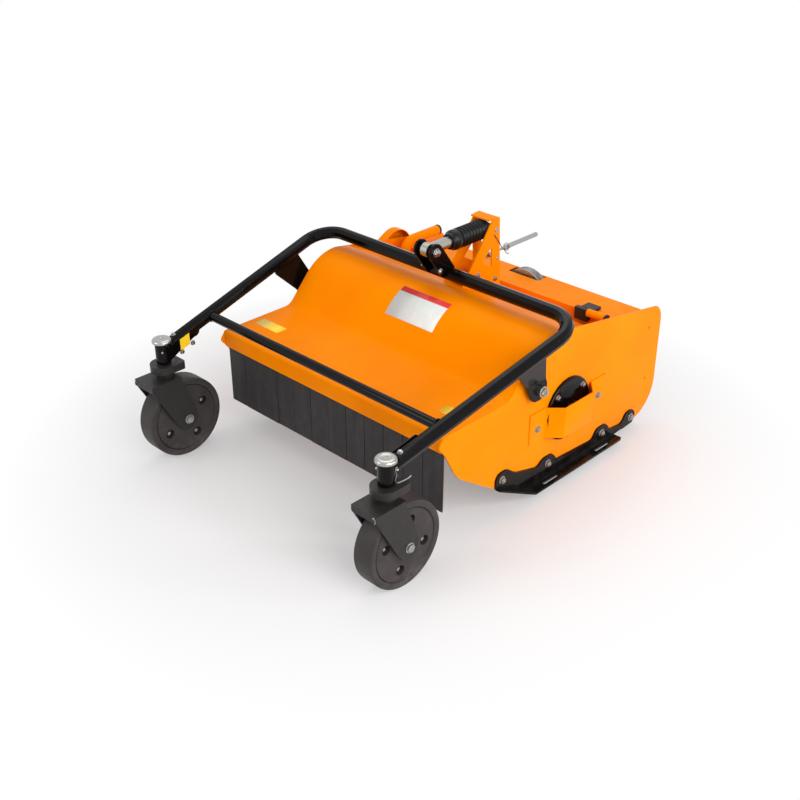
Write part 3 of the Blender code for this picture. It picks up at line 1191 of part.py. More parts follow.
def build_caster(pivot, word):
    side = -1 if word == "left" else 1
    swivel = empty("caster_" + word, (side * STEM_X, STEM_Y, COLLAR_TOP), pivot)
    spin = empty("wheel_" + word, (side * STEM_X, STEM_Y + TRAIL, WHEEL_RADIUS), swivel)
    pieces = [(fork_mesh(), "fork_", "plate_black", swivel, False),
              (cap_mesh(), "stem_cap_", "bright_zinc", swivel, True),
              (axle_mesh(), "axle_", "bright_zinc", swivel, False),
              (tyre_mesh(), "tyre_", "rubber_grey", spin, True),
              (hub_mesh(HOLE_TURN[word]), "hub_", "hub_grey", spin, True)]
    for mesh, name, finish_name, carrier, smooth in pieces:
        if word == "left":
            mesh = mirrored(mesh)
        publish(mesh, name + word, finish_name, carrier, smooth)


def main():
    clear_scene()
    machine = empty("machine", (0, 0, 0))
    build_deck(machine)
    build_flaps(machine)
    build_rotor(machine)
    build_bearings(machine)
    build_guard(machine)
    build_belt_cover(machine)
    build_skids(machine)
    build_roller(machine)
    build_mast(machine)
    build_drive(machine)
    build_fittings(machine)
    pivot = build_frame(machine)
    build_link(machine)
    for word in ("left", "right"):
        build_caster(pivot, word)
    machine.location = (0, -MIDDLE_Y, 0)


main()
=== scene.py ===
"""Looks of the hammer knife mower: its finishes, small parts, floor, lights and camera."""

import json
import random
from math import atan2, cos, pi, radians, sin

import bmesh
import bpy
from bpy.props import FloatProperty, FloatVectorProperty, IntProperty, PointerProperty
from mathutils import Matrix, Vector
from mathutils.bvhtree import BVHTree


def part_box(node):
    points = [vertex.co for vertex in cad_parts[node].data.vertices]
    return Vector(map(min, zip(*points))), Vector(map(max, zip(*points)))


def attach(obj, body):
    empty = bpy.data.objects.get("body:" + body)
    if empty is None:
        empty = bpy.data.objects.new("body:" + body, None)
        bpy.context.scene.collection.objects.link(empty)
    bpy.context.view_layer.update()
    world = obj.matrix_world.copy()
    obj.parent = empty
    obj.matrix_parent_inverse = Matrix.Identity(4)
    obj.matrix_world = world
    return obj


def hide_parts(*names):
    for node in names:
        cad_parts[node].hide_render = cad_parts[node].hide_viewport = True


bl_info = {
    "name": "Hammer Knife Mower",
    "version": (1, 0, 0),
    "blender": (4, 5, 0),
    "location": "View3D > Sidebar > Mower",
    "description": "Dresses the mower's frame with finishes and small parts",
    "category": "Object",
}

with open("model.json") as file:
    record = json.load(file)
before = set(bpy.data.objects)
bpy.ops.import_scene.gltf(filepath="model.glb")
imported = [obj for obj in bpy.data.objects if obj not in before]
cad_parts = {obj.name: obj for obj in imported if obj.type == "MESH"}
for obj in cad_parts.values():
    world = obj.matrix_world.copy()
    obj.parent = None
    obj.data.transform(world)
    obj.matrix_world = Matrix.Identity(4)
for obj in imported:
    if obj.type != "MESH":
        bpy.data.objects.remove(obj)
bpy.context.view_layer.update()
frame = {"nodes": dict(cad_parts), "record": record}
NODES = frame["nodes"]
BODY_OF = {node: body for body, nodes in frame["record"]["behaviour"]["bodies"].items()
           for node in nodes}
MIDDLE_Y = 0.3455          # from the deck's lip to the middle of the length

# Places of bolts on the machine: y from the deck's lip, and height
SKID_BOLTS = ((0.240, 0.110), (0.447, 0.070), (0.712, 0.058), (0.866, 0.050))
MAST_BOLTS = ((0.600, 0.487), (0.682, 0.452))
GUARD_BOLTS = ((0.392, 0.207), (0.678, 0.203))
BEARING_BOLTS = ((0.4697, 0.1660), (0.4697, 0.2780), (0.5843, 0.1660), (0.5843, 0.2780))
STEM_PLATE_BOLTS = ((-0.118, 0.350), (-0.160, 0.337))

# Name, place, target, width and power of each lamp
LAMPS = (
    ("key", (3.0, -0.9, 1.9), (0.1, 0.0, 0.2), 2.6, 80.0),
    ("sky", (-0.8, 0.8, 3.4), (0.0, 0.0, 0.2), 2.6, 26.0),
    ("front", (-1.4, -3.4, 2.0), (0.0, 0.0, 0.2), 2.0, 28.0),
    ("rim", (2.7, 1.1, 1.45), (0.2, -0.1, 0.3), 0.5, 15.0),
)


# Sizes and colours

def length(name, description, default):
    return FloatProperty(name=name, description=description, default=default, min=0.0,
                         unit="LENGTH", precision=4)


def colour(name, description, default):
    return FloatVectorProperty(name=name, description=description, default=default, size=3,
                               min=0.0, max=1.0, subtype="COLOR")


class MowerSizes(bpy.types.PropertyGroup):
    sheet_edge: length("Sheet edge", "Rounding of cut sheet edges", 0.0008)
    cast_edge: length("Heavy edge", "Rounding of thick plates and cast parts", 0.0015)
    bolt_head: length("Bolt head", "Half the width of a deck bolt's head across corners", 0.0095)
    bolt_height: length("Bolt height", "Height of a deck bolt's head", 0.0065)
    washer: length("Washer", "Radius of a deck bolt's washer", 0.0125)
    bead: length("Weld bead", "Radius of the weld round a joined tube", 0.0032)
    wire: length("Clip wire", "Radius of the spring clips' wire", 0.0013)
    flap_slit: length("Flap slit", "Width of an open slit between two flaps", 0.0020)
    flap_seam: length("Flap seam", "Width of a slit that barely shows", 0.0004)
    flap_bend: length("Flap bend", "How far the flaps' lower ends swing at most", 0.003)
    label_lift: length("Label thickness", "How far a label stands off the paint", 0.0004)
    ridge_rise: length("Ridge rise", "Height of the ridges pressed into the hood", 0.0040)
    cap_share: FloatProperty(name="Cap height", description="Share of the stem cap's room "
                             "that its dome takes", default=0.80, min=0.1, max=1.0,
                             subtype="FACTOR")
    bellows_ribs: IntProperty(name="Bellows ribs", description="Folds of the screw's bellows",
                              default=9, min=3, max=20)


class MowerColours(bpy.types.PropertyGroup):
    orange: colour("Orange", "Enamel of the deck, mast and guards", (1.0, 0.248, 0.0))
    gloss_black: colour("Gloss black", "Enamel of the tube frame", (0.0025, 0.002, 0.002))
    satin_black: colour("Satin black", "Coating of forks, skids and brackets",
                        (0.019, 0.016, 0.016))
    rubber: colour("Flap rubber", "The front flaps", (0.036, 0.031, 0.032))
    tyre: colour("Tyre", "The caster wheels' tyres", (0.042, 0.035, 0.035))
    wheel: colour("Wheel disc", "The caster wheels' moulded discs", (0.042, 0.034, 0.034))
    bellows: colour("Bellows", "The screw's bellows", (0.005, 0.005, 0.005))
    zinc: colour("Zinc", "Bright bolts, caps and rods", (0.42, 0.42, 0.41))
    steel: colour("Steel", "The bare rotor", (0.36, 0.35, 0.34))
    iron: colour("Cast iron", "The drive pulley and its bearing", (0.42, 0.41, 0.40))
    label_white: colour("White label", "Face of the blank plate on the hood",
                        (0.74, 0.75, 0.71))
    label_red: colour("Red band", "Band along the blank plate's top", (0.72, 0.02, 0.02))
    label_yellow: colour("Yellow label", "The small blank labels", (0.95, 0.62, 0.02))
    floor: colour("Floor", "The studio floor", (0.75, 0.725, 0.722))


def sizes():
    return bpy.context.scene.mower_sizes


def colours():
    return bpy.context.scene.mower_colours


# Finishes

def start_finish(name, base, roughness, metallic=0.0, specular=0.5):
    material = bpy.data.materials.new(name)
    material.use_nodes = True
    shader = material.node_tree.nodes["Principled BSDF"]
    shader.inputs["Base Color"].default_value = (*base, 1.0)
    shader.inputs["Roughness"].default_value = roughness
    shader.inputs["Metallic"].default_value = metallic
    shader.inputs["Specular IOR Level"].default_value = specular
    return material, material.node_tree, shader


def grain(tree, scale, detail=4.0, stretch=(1.0, 1.0, 1.0), roughness=0.5):
    """Noise over the object's own coordinates, as a factor."""
    coordinates = tree.nodes.new("ShaderNodeTexCoord")
    mapping = tree.nodes.new("ShaderNodeMapping")
    mapping.inputs["Scale"].default_value = stretch
    noise = tree.nodes.new("ShaderNodeTexNoise")
    noise.inputs["Scale"].default_value = scale
    noise.inputs["Detail"].default_value = detail
    noise.inputs["Roughness"].default_value = roughness
    tree.links.new(coordinates.outputs["Object"], mapping.inputs["Vector"])
    tree.links.new(mapping.outputs["Vector"], noise.inputs["Vector"])
    return noise.outputs["Fac"]


def span(tree, factor, low, high, to_low, to_high):
    step = tree.nodes.new("ShaderNodeMapRange")
    for socket, value in (("From Min", low), ("From Max", high), ("To Min", to_low),
                          ("To Max", to_high)):
        step.inputs[socket].default_value = value
    tree.links.new(factor, step.inputs["Value"])
    return step.outputs["Result"]


def tint(tree, factor, first, second):
    """A colour between two others; either may be the output of an earlier tint."""
    mix = tree.nodes.new("ShaderNodeMix")
    mix.data_type = "RGBA"
    tree.links.new(factor, mix.inputs["Factor"])
    for socket, value in ((mix.inputs[6], first), (mix.inputs[7], second)):
        if isinstance(value, bpy.types.NodeSocket):
            tree.links.new(value, socket)
        else:
            socket.default_value = (*value, 1.0)
    return mix.outputs[2]


def relief(tree, shader, *layers):
    """Bumps on the surface: each layer is (height, strength, distance)."""
    normal = None
    for height, strength, distance in layers:
        bump = tree.nodes.new("ShaderNodeBump")
        bump.inputs["Strength"].default_value = strength
        bump.inputs["Distance"].default_value = distance
        tree.links.new(height, bump.inputs["Height"])
        if normal is not None:
            tree.links.new(normal, bump.inputs["Normal"])
        normal = bump.outputs["Normal"]
    tree.links.new(normal, shader.inputs["Normal"])


def shade(base, factor):
    return tuple(min(1.0, channel * factor) for channel in base)


def height_mask(tree, low, high):
    """1 at the ground, falling to 0 at a height."""
    coordinates = tree.nodes.new("ShaderNodeTexCoord")
    split = tree.nodes.new("ShaderNodeSeparateXYZ")
    tree.links.new(coordinates.outputs["Object"], split.inputs["Vector"])
    return span(tree, split.outputs["Z"], low, high, 1.0, 0.0)


def multiply(tree, first, second):
    step = tree.nodes.new("ShaderNodeMath")
    step.operation = "MULTIPLY"
    tree.links.new(first, step.inputs[0])
    tree.links.new(second, step.inputs[1])
    return step.outputs["Value"]


def enamel(name, base, roughness, specular, gloss_tint, dust):
    """Gloss paint: orange-peel, slow changes of shade, fine scuffs and a little dust low down."""
    material, tree, shader = start_finish(name, base, roughness, specular=specular)
    shader.inputs["Specular Tint"].default_value = (*gloss_tint, 1.0)
    slow = grain(tree, 5.0, 2.0)
    shaded = tint(tree, span(tree, slow, 0.35, 0.65, 0.0, 1.0), shade(base, 0.93),
                  shade(base, 1.05))
    specks = span(tree, grain(tree, 900.0, 2.0), 0.72, 0.80, 0.0, 0.3)
    shaded = tint(tree, specks, shaded, shade(base, 0.80))
    dusty = multiply(tree, height_mask(tree, 0.03, 0.20),
                     span(tree, grain(tree, 28.0, 6.0, roughness=0.7), 0.45, 0.75, 0.0, dust))
    shaded = tint(tree, dusty, shaded, (0.30, 0.24, 0.18))
    tree.links.new(shaded, shader.inputs["Base Color"])
    scuffs = grain(tree, 60.0, 8.0, stretch=(0.45, 1.0, 1.0), roughness=0.65)
    tree.links.new(span(tree, scuffs, 0.4, 0.8, roughness, roughness + 0.12),
                   shader.inputs["Roughness"])
    relief(tree, shader, (grain(tree, 320.0, 1.0), 0.06, 0.0006),
           (grain(tree, 9.0, 1.0), 0.05, 0.004))
    return material


def satin(name, base, roughness):
    """Powder coat: fine pimples, faint rub marks and a little floor dust."""
    material, tree, shader = start_finish(name, base, roughness, specular=0.28)
    rubbed = span(tree, grain(tree, 45.0, 7.0, roughness=0.7), 0.55, 0.75, 0.0, 0.5)
    shaded = tint(tree, rubbed, base, shade(base, 2.2))
    dusty = multiply(tree, height_mask(tree, 0.01, 0.12),
                     span(tree, grain(tree, 30.0, 6.0), 0.4, 0.8, 0.0, 0.35))
    shaded = tint(tree, dusty, shaded, (0.16, 0.14, 0.12))
    tree.links.new(shaded, shader.inputs["Base Color"])
    tree.links.new(span(tree, grain(tree, 80.0, 5.0), 0.3, 0.7, roughness - 0.08,
                        roughness + 0.10), shader.inputs["Roughness"])
    relief(tree, shader, (grain(tree, 1400.0, 2.0), 0.25, 0.0003))
    return material


def rubber(name, base, roughness, streak, streak_depth):
    """Black rubber with bloom, moulding streaks and dust where it meets the ground."""
    material, tree, shader = start_finish(name, base, roughness, specular=0.22)
    bloom = span(tree, grain(tree, 14.0, 6.0, stretch=streak, roughness=0.65), 0.40, 0.72,
                 0.0, 0.65)
    shaded = tint(tree, bloom, shade(base, 0.85), shade(base, 1.55))
    dusty = multiply(tree, height_mask(tree, 0.0, 0.06),
                     span(tree, grain(tree, 55.0, 6.0), 0.35, 0.75, 0.0, 0.45))
    shaded = tint(tree, dusty, shaded, (0.20, 0.17, 0.15))
    tree.links.new(shaded, shader.inputs["Base Color"])
    tree.links.new(span(tree, grain(tree, 30.0, 5.0), 0.3, 0.7, roughness - 0.06,
                        roughness + 0.10), shader.inputs["Roughness"])
    relief(tree, shader, (grain(tree, 700.0, 3.0), 0.18, 0.0004),
           (grain(tree, 22.0, 3.0, stretch=streak), streak_depth, 0.001))
    return material


def plated(name, base, roughness):
    """Bright zinc: a bluish and straw cast in patches, crystals and fine tool lines."""
    material, tree, shader = start_finish(name, base, roughness, metallic=1.0)
    cast = span(tree, grain(tree, 35.0, 3.0), 0.38, 0.62, 0.0, 1.0)
    shaded = tint(tree, cast, (base[0] * 0.90, base[1] * 0.93, base[2]),
                  (base[0], base[1] * 0.96, base[2] * 0.86))
    tree.links.new(shaded, shader.inputs["Base Color"])
    tree.links.new(span(tree, grain(tree, 260.0, 4.0), 0.3, 0.7, roughness - 0.08,
                        roughness + 0.12), shader.inputs["Roughness"])
    relief(tree, shader, (grain(tree, 500.0, 3.0, stretch=(1.0, 1.0, 0.2)), 0.08, 0.0003))
    return material


def bare_metal(name, base, roughness, rust):
    """Forged or cast metal: scale, pits and a little rust in the low places."""
    material, tree, shader = start_finish(name, base, roughness, metallic=0.85)
    scale = grain(tree, 30.0, 8.0, roughness=0.7)
    shaded = tint(tree, span(tree, scale, 0.35, 0.70, 0.0, 1.0), shade(base, 0.55),
                  shade(base, 1.15))
    shaded = tint(tree, span(tree, grain(tree, 18.0, 7.0), 0.55, 0.75, 0.0, rust), shaded,
                  (0.20, 0.075, 0.025))
    tree.links.new(shaded, shader.inputs["Base Color"])
    tree.links.new(span(tree, scale, 0.3, 0.7, roughness + 0.12, roughness - 0.10),
                   shader.inputs["Roughness"])
    relief(tree, shader, (grain(tree, 180.0, 6.0, roughness=0.7), 0.30, 0.0010))
    return material


def sticker(name, base):
    """A printed film: nearly flat, slightly mottled, with a soft gloss."""
    material, tree, shader = start_finish(name, base, 0.32)
    tree.links.new(tint(tree, span(tree, grain(tree, 40.0, 5.0), 0.4, 0.7, 0.0, 1.0),
                        shade(base, 0.94), base), shader.inputs["Base Color"])
    relief(tree, shader, (grain(tree, 220.0, 2.0), 0.05, 0.0004))
    return material


FINISH_MAKERS = {
    "orange enamel": lambda c: enamel("orange enamel", c.orange, 0.30, 0.05, (1.0, 0.40, 0.0),
                                      0.20),
    "black enamel": lambda c: enamel("black enamel", c.gloss_black, 0.12, 0.15, (1.0, 1.0, 1.0),
                                     0.05),
    "satin black": lambda c: satin("satin black", c.satin_black, 0.42),
    "flap rubber": lambda c: rubber("flap rubber", c.rubber, 0.56, (2.5, 1.0, 0.40), 0.05),
    "tyre rubber": lambda c: rubber("tyre rubber", c.tyre, 0.50, (1.0, 1.0, 1.0), 0.06),
    "wheel disc": lambda c: rubber("wheel disc", c.wheel, 0.46, (1.0, 1.0, 1.0), 0.04),
    "bellows rubber": lambda c: rubber("bellows rubber", c.bellows, 0.30, (1.0, 1.0, 1.0), 0.03),
    "bright zinc": lambda c: plated("bright zinc", c.zinc, 0.24),
    "forged steel": lambda c: bare_metal("forged steel", c.steel, 0.45, 0.35),
    "cast iron": lambda c: bare_metal("cast iron", c.iron, 0.38, 0.10),
    "white label": lambda c: sticker("white label", c.label_white),
    "red label": lambda c: sticker("red label", c.label_red),
    "yellow label": lambda c: sticker("yellow label", c.label_yellow),
}


def finish(name):
    material = bpy.data.materials.get(name)
    if material is None:
        material = FINISH_MAKERS[name](colours())
    return material


# Making pieces

def spot(x, y, z):
    """A place given in the machine's coordinates, y from the deck's lip."""
    return Vector((x, y - MIDDLE_Y, z))


def middle(node):
    low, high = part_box(node)
    return (low + high) / 2


def merged(bm):
    bmesh.ops.remove_doubles(bm, verts=bm.verts[:], dist=0.00001)
    bmesh.ops.recalc_face_normals(bm, faces=bm.faces[:])
    return bm


def copy_of(node):
    """The CAD node's shape with its doubles merged and its flat faces joined."""
    bm = bmesh.new()
    bm.from_mesh(NODES[node].data)
    merged(bm)
    bmesh.ops.dissolve_limit(bm, angle_limit=radians(0.5), verts=bm.verts[:],
                             edges=bm.edges[:])
    return bm


def piece(bm, name, finish_name, body, edge=0.0, sharp=32.0):
    """A finished object from a bmesh, riding on a body."""
    mesh = bpy.data.meshes.new(name)
    bm.to_mesh(mesh)
    bm.free()
    mesh.materials.clear()
    mesh.materials.append(finish(finish_name))
    mesh.shade_smooth()
    made = bpy.data.objects.new(name, mesh)
    bpy.context.scene.collection.objects.link(made)
    mesh.set_sharp_from_angle(angle=radians(sharp))
    if edge > 0.0:
        bevel = made.modifiers.new("edges", "BEVEL")
        bevel.width = edge
        bevel.segments = 2
        bevel.limit_method = "ANGLE"
        bevel.angle_limit = radians(sharp)
        bevel.harden_normals = True
    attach(made, body)
    return made


def dress(node, finish_name, edge):
    """Replaces a CAD node by its own shape with rounded edges."""
    made = piece(copy_of(node), node + "_finished", finish_name, BODY_OF[node], edge)
    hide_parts(node)
    return made


def paint(node, finish_name):
    """Keeps a CAD node and gives it a finish."""
    data = NODES[node].data
    data.materials.clear()
    data.materials.append(finish(finish_name))


TURNS = {"X": None, "Y": Matrix.Rotation(pi / 2, 4, "Z"), "Z": Matrix.Rotation(-pi / 2, 4, "Y")}


def revolve(profile, centre, axis="X", steps=64, closed=True):
    """A chain of (radius, along) spun round an axis through a centre."""
    bm = bmesh.new()
    verts = [bm.verts.new((along, 0.0, radius)) for radius, along in profile]
    pairs = list(zip(verts, verts[1:]))
    if closed:
        pairs.append((verts[-1], verts[0]))
    edges = [bm.edges.new(pair) for pair in pairs if pair[0].co.z + pair[1].co.z > 0]
    bmesh.ops.spin(bm, geom=verts + edges, cent=(0, 0, 0), axis=(1, 0, 0), dvec=(0, 0, 0),
                   angle=2 * pi, steps=steps, use_merge=True, use_duplicate=False)
    merged(bm)
    if TURNS[axis] is not None:
        bmesh.ops.transform(bm, matrix=TURNS[axis], verts=bm.verts[:])
    bmesh.ops.translate(bm, vec=centre, verts=bm.verts[:])
    return bm


def box(bm, low, high):
    """A block between two corners, added to a bmesh."""
    low, high = Vector(low), Vector(high)
    size = high - low
    place = Matrix.Translation((low + high) / 2) @ Matrix.Diagonal((*size, 1.0))
    return bmesh.ops.create_cube(bm, size=1.0, matrix=place)["verts"]


def facing(direction):
    return Vector((0, 0, 1)).rotation_difference(Vector(direction)).to_matrix().to_4x4()


def drum(bm, centre, direction, radius, low, high, sides=24, bevel=0.0):
    """A round or six-sided bar along a direction, added to a bmesh, its outer rim bevelled."""
    place = (Matrix.Translation(Vector(centre)) @ facing(direction)
             @ Matrix.Translation((0, 0, (low + high) / 2)))
    made = bmesh.ops.create_cone(bm, cap_ends=True, cap_tris=False, segments=sides,
                                 radius1=radius, radius2=radius, depth=high - low, matrix=place)
    if bevel > 0.0:
        axis = Vector(direction).normalized()
        top = max(vert.co.dot(axis) for vert in made["verts"])
        rim = [edge for edge in {e for vert in made["verts"] for e in vert.link_edges}
               if all(vert.co.dot(axis) > top - 0.0001 for vert in edge.verts)]
        bmesh.ops.bevel(bm, geom=rim, offset=bevel, offset_type="OFFSET", segments=2,
                        profile=0.5, affect="EDGES", material=-1, clamp_overlap=True)


def bolt(bm, centre, direction, head, height, washer, stud=0.0):
    """A hexagon bolt on its washer, added to a bmesh; centre is on the plate's face."""
    lift = 0.0016
    drum(bm, centre, direction, washer, 0.0, lift, 28, 0.0004)
    drum(bm, centre, direction, head, lift - 0.0002, lift + height, 6, height * 0.16)
    drum(bm, centre, direction, head * 0.74, lift + height - 0.0005, lift + height + 0.0005,
         24, 0.0003)
    if stud > 0.0:
        drum(bm, centre, direction, head * 0.50, lift + height, lift + height + stud, 16, 0.0007)


def wire(points, name, finish_name, body, radius, cyclic=False):
    """A bent round wire through points, as a mesh with its place applied."""
    curve = bpy.data.curves.new(name, "CURVE")
    curve.dimensions = "3D"
    curve.bevel_depth = radius
    curve.bevel_resolution = 3
    curve.use_fill_caps = True
    curve.resolution_u = 8
    spline = curve.splines.new("BEZIER")
    spline.bezier_points.add(len(points) - 1)
    spline.use_cyclic_u = cyclic
    for target, point in zip(spline.bezier_points, points):
        target.co = point
        target.handle_left_type = target.handle_right_type = "AUTO"
    holder = bpy.data.objects.new(name + "_path", curve)
    bpy.context.scene.collection.objects.link(holder)
    graph = bpy.context.evaluated_depsgraph_get()
    mesh = bpy.data.meshes.new_from_object(holder.evaluated_get(graph))
    bpy.data.objects.remove(holder, do_unlink=True)
    bm = bmesh.new()
    bm.from_mesh(mesh)
    bpy.data.meshes.remove(mesh)
    return piece(merged(bm), name, finish_name, body)


def weld_ring(bm, centre, direction, radius, bead):
    """A rippled bead of weld round a tube, added to a bmesh."""
    ring = bmesh.new()
    made = bmesh.ops.create_circle(ring, cap_ends=False, radius=bead, segments=10,
                                   matrix=Matrix.Translation((radius, 0, 0))
                                   @ Matrix.Rotation(pi / 2, 4, "X"))
    edges = list({edge for vert in made["verts"] for edge in vert.link_edges})
    bmesh.ops.spin(ring, geom=made["verts"] + edges, cent=(0, 0, 0), axis=(0, 0, 1),
                   dvec=(0, 0, 0), angle=2 * pi, steps=72, use_merge=True, use_duplicate=False)
    merged(ring)
    for vert in ring.verts:
        ripple = 1.0 + 0.012 * sin(24 * atan2(vert.co.y, vert.co.x))
        vert.co.x *= ripple
        vert.co.y *= ripple
    bmesh.ops.transform(ring, matrix=Matrix.Translation(Vector(centre)) @ facing(direction),
                        verts=ring.verts[:])
    mesh = bpy.data.meshes.new("ring")
    ring.to_mesh(mesh)
    ring.free()
    bm.from_mesh(mesh)
    bpy.data.meshes.remove(mesh)


def bored(bm, cutters):
    """The bmesh with round holes bored through it; each cutter is its own bmesh."""
    def helper(source):
        mesh = bpy.data.meshes.new("helper")
        source.to_mesh(mesh)
        source.free()
        made = bpy.data.objects.new("helper", mesh)
        bpy.context.scene.collection.objects.link(made)
        return made
    body = helper(bm)
    tools = [helper(cutter) for cutter in cutters]
    for tool in tools:
        step = body.modifiers.new("hole", "BOOLEAN")
        step.operation = "DIFFERENCE"
        step.object = tool
        step.solver = "EXACT"
    graph = bpy.context.evaluated_depsgraph_get()
    mesh = bpy.data.meshes.new_from_object(body.evaluated_get(graph))
    for made in (body, *tools):
        bpy.data.objects.remove(made, do_unlink=True)
    result = bmesh.new()
    result.from_mesh(mesh)
    bpy.data.meshes.remove(mesh)
    return merged(result)


# Operators

class MOWER_OT_deck(bpy.types.Operator):
    """Hood, side plates, box, mast, guard and belt cover in orange enamel"""
    bl_idname = "mower.deck"
    bl_label = "Deck Sheets"

    def execute(self, context):
        edge = sizes().sheet_edge
        for node in ("hood", "side_plate_left", "side_plate_right", "cross_box", "rear_sheet",
                     "mast", "bearing_guard_right", "belt_cover_left", "support_tube",
                     "stop_bar"):
            dress(node, "orange enamel", edge)
        dress("flap_rail", "satin black", edge)
        dress("support_cap", "flap rubber", edge)
        return {"FINISHED"}


class MOWER_OT_hood_ridges(bpy.types.Operator):
    """The pressed ridges on the hood's rear slope"""
    bl_idname = "mower.hood_ridges"
    bl_label = "Hood Ridges"

    def execute(self, context):
        tree = hood_surface()
        bm = bmesh.new()
        rows, first, pitch, half = 7, 0.655, 0.018, 0.0032
        for row in range(rows):
            y = first + pitch * row
            rise = surface_height(tree, 0.3, y)
            tilt = (surface_height(tree, 0.3, y + 0.01) - rise) / 0.01
            for low, high in ((0.150, 0.276), (0.286, 0.436)):
                verts = box(bm, (low, y - MIDDLE_Y - half, rise - 0.001),
                            (high, y - MIDDLE_Y + half, rise + sizes().ridge_rise))
                for vert in verts:
                    vert.co.z += (vert.co.y - y + MIDDLE_Y) * tilt
        piece(bm, "hood_ridges", "orange enamel", "deck", 0.0012)
        return {"FINISHED"}


class MOWER_OT_flaps(bpy.types.Operator):
    """The row of hanging rubber flaps"""
    bl_idname = "mower.flaps"
    bl_label = "Front Flaps"

    def execute(self, context):
        low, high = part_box("front_flaps")
        rng = random.Random(7)
        count = 12
        closed, narrow = (2, 4, 6), (1, 3)
        pitch = (high.x - low.x) / count
        slit, seam = sizes().flap_slit, sizes().flap_seam
        gaps = [seam if k in closed else slit / 2 if k in narrow else slit
                for k in range(count + 1)]
        swing = 0.0
        bm = bmesh.new()
        for k in range(count):
            left = low.x + pitch * k + gaps[k] / 2
            right = low.x + pitch * (k + 1) - gaps[k + 1] / 2
            verts = box(bm, (left, low.y, low.z), (right, high.y, high.z))
            edges = {e for vert in verts for e in vert.link_edges
                     if abs(e.verts[0].co.z - e.verts[1].co.z) > 0.1}
            bmesh.ops.subdivide_edges(bm, edges=list(edges), cuts=8, use_grid_fill=True)
            if k not in closed:
                swing = rng.uniform(-0.3, 1.0) * sizes().flap_bend
            slew = 0.0 if k in closed or k + 1 in closed else rng.uniform(-0.0006, 0.0006)
            for vert in [v for v in bm.verts if v.co.x > left - 0.0001]:
                share = (high.z - 0.04 - vert.co.z) / (high.z - low.z)
                share = max(0.0, share)
                vert.co.y -= swing * share * share
                vert.co.x += slew * share
        made = piece(bm, "front_flaps_finished", "flap rubber", "deck", 0.0007)
        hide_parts("front_flaps")
        return {"FINISHED"}


class MOWER_OT_rotor(bpy.types.Operator):
    """Rotor, its bearings and the rear roller"""
    bl_idname = "mower.rotor"
    bl_label = "Rotor and Roller"

    def execute(self, context):
        dress("rotor", "forged steel", 0.0010)
        for word, side in (("left", -1), ("right", 1)):
            dress("bearing_" + word, "black enamel", 0.0012)
            dress("roller_bracket_" + word, "satin black", sizes().sheet_edge)
        dress("rear_roller", "satin black", 0.0010)
        return {"FINISHED"}


class MOWER_OT_skids(bpy.types.Operator):
    """The two skids with their folded feet"""
    bl_idname = "mower.skids"
    bl_label = "Skids"

    def execute(self, context):
        for word in ("left", "right"):
            dress("skid_" + word, "black enamel", 0.0010)
        return {"FINISHED"}


class MOWER_OT_tube_frame(bpy.types.Operator):
    """The caster frame's tubes, arms, sleeves and lugs, with their welds"""
    bl_idname = "mower.tube_frame"
    bl_label = "Caster Frame"

    def execute(self, context):
        dress("tube_frame", "black enamel", 0.0010)
        dress("crossbar", "black enamel", 0.0008)
        dress("link_lugs", "black enamel", sizes().cast_edge)
        for word in ("left", "right"):
            dress("pivot_arm_" + word, "black enamel", sizes().cast_edge)
            dress("stem_sleeve_" + word, "black enamel", 0.0010)
            paint("pivot_bolt_" + word, "bright zinc")
        bm = bmesh.new()
        low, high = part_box("crossbar")
        centre = (low + high) / 2
        for side in (-1, 1):
            weld_ring(bm, (side * (high.x - 0.0035), centre.y, centre.z), (side, 0, 0),
                      0.0148, sizes().bead)
        piece(bm, "crossbar_welds", "black enamel", "caster_frame")
        return {"FINISHED"}


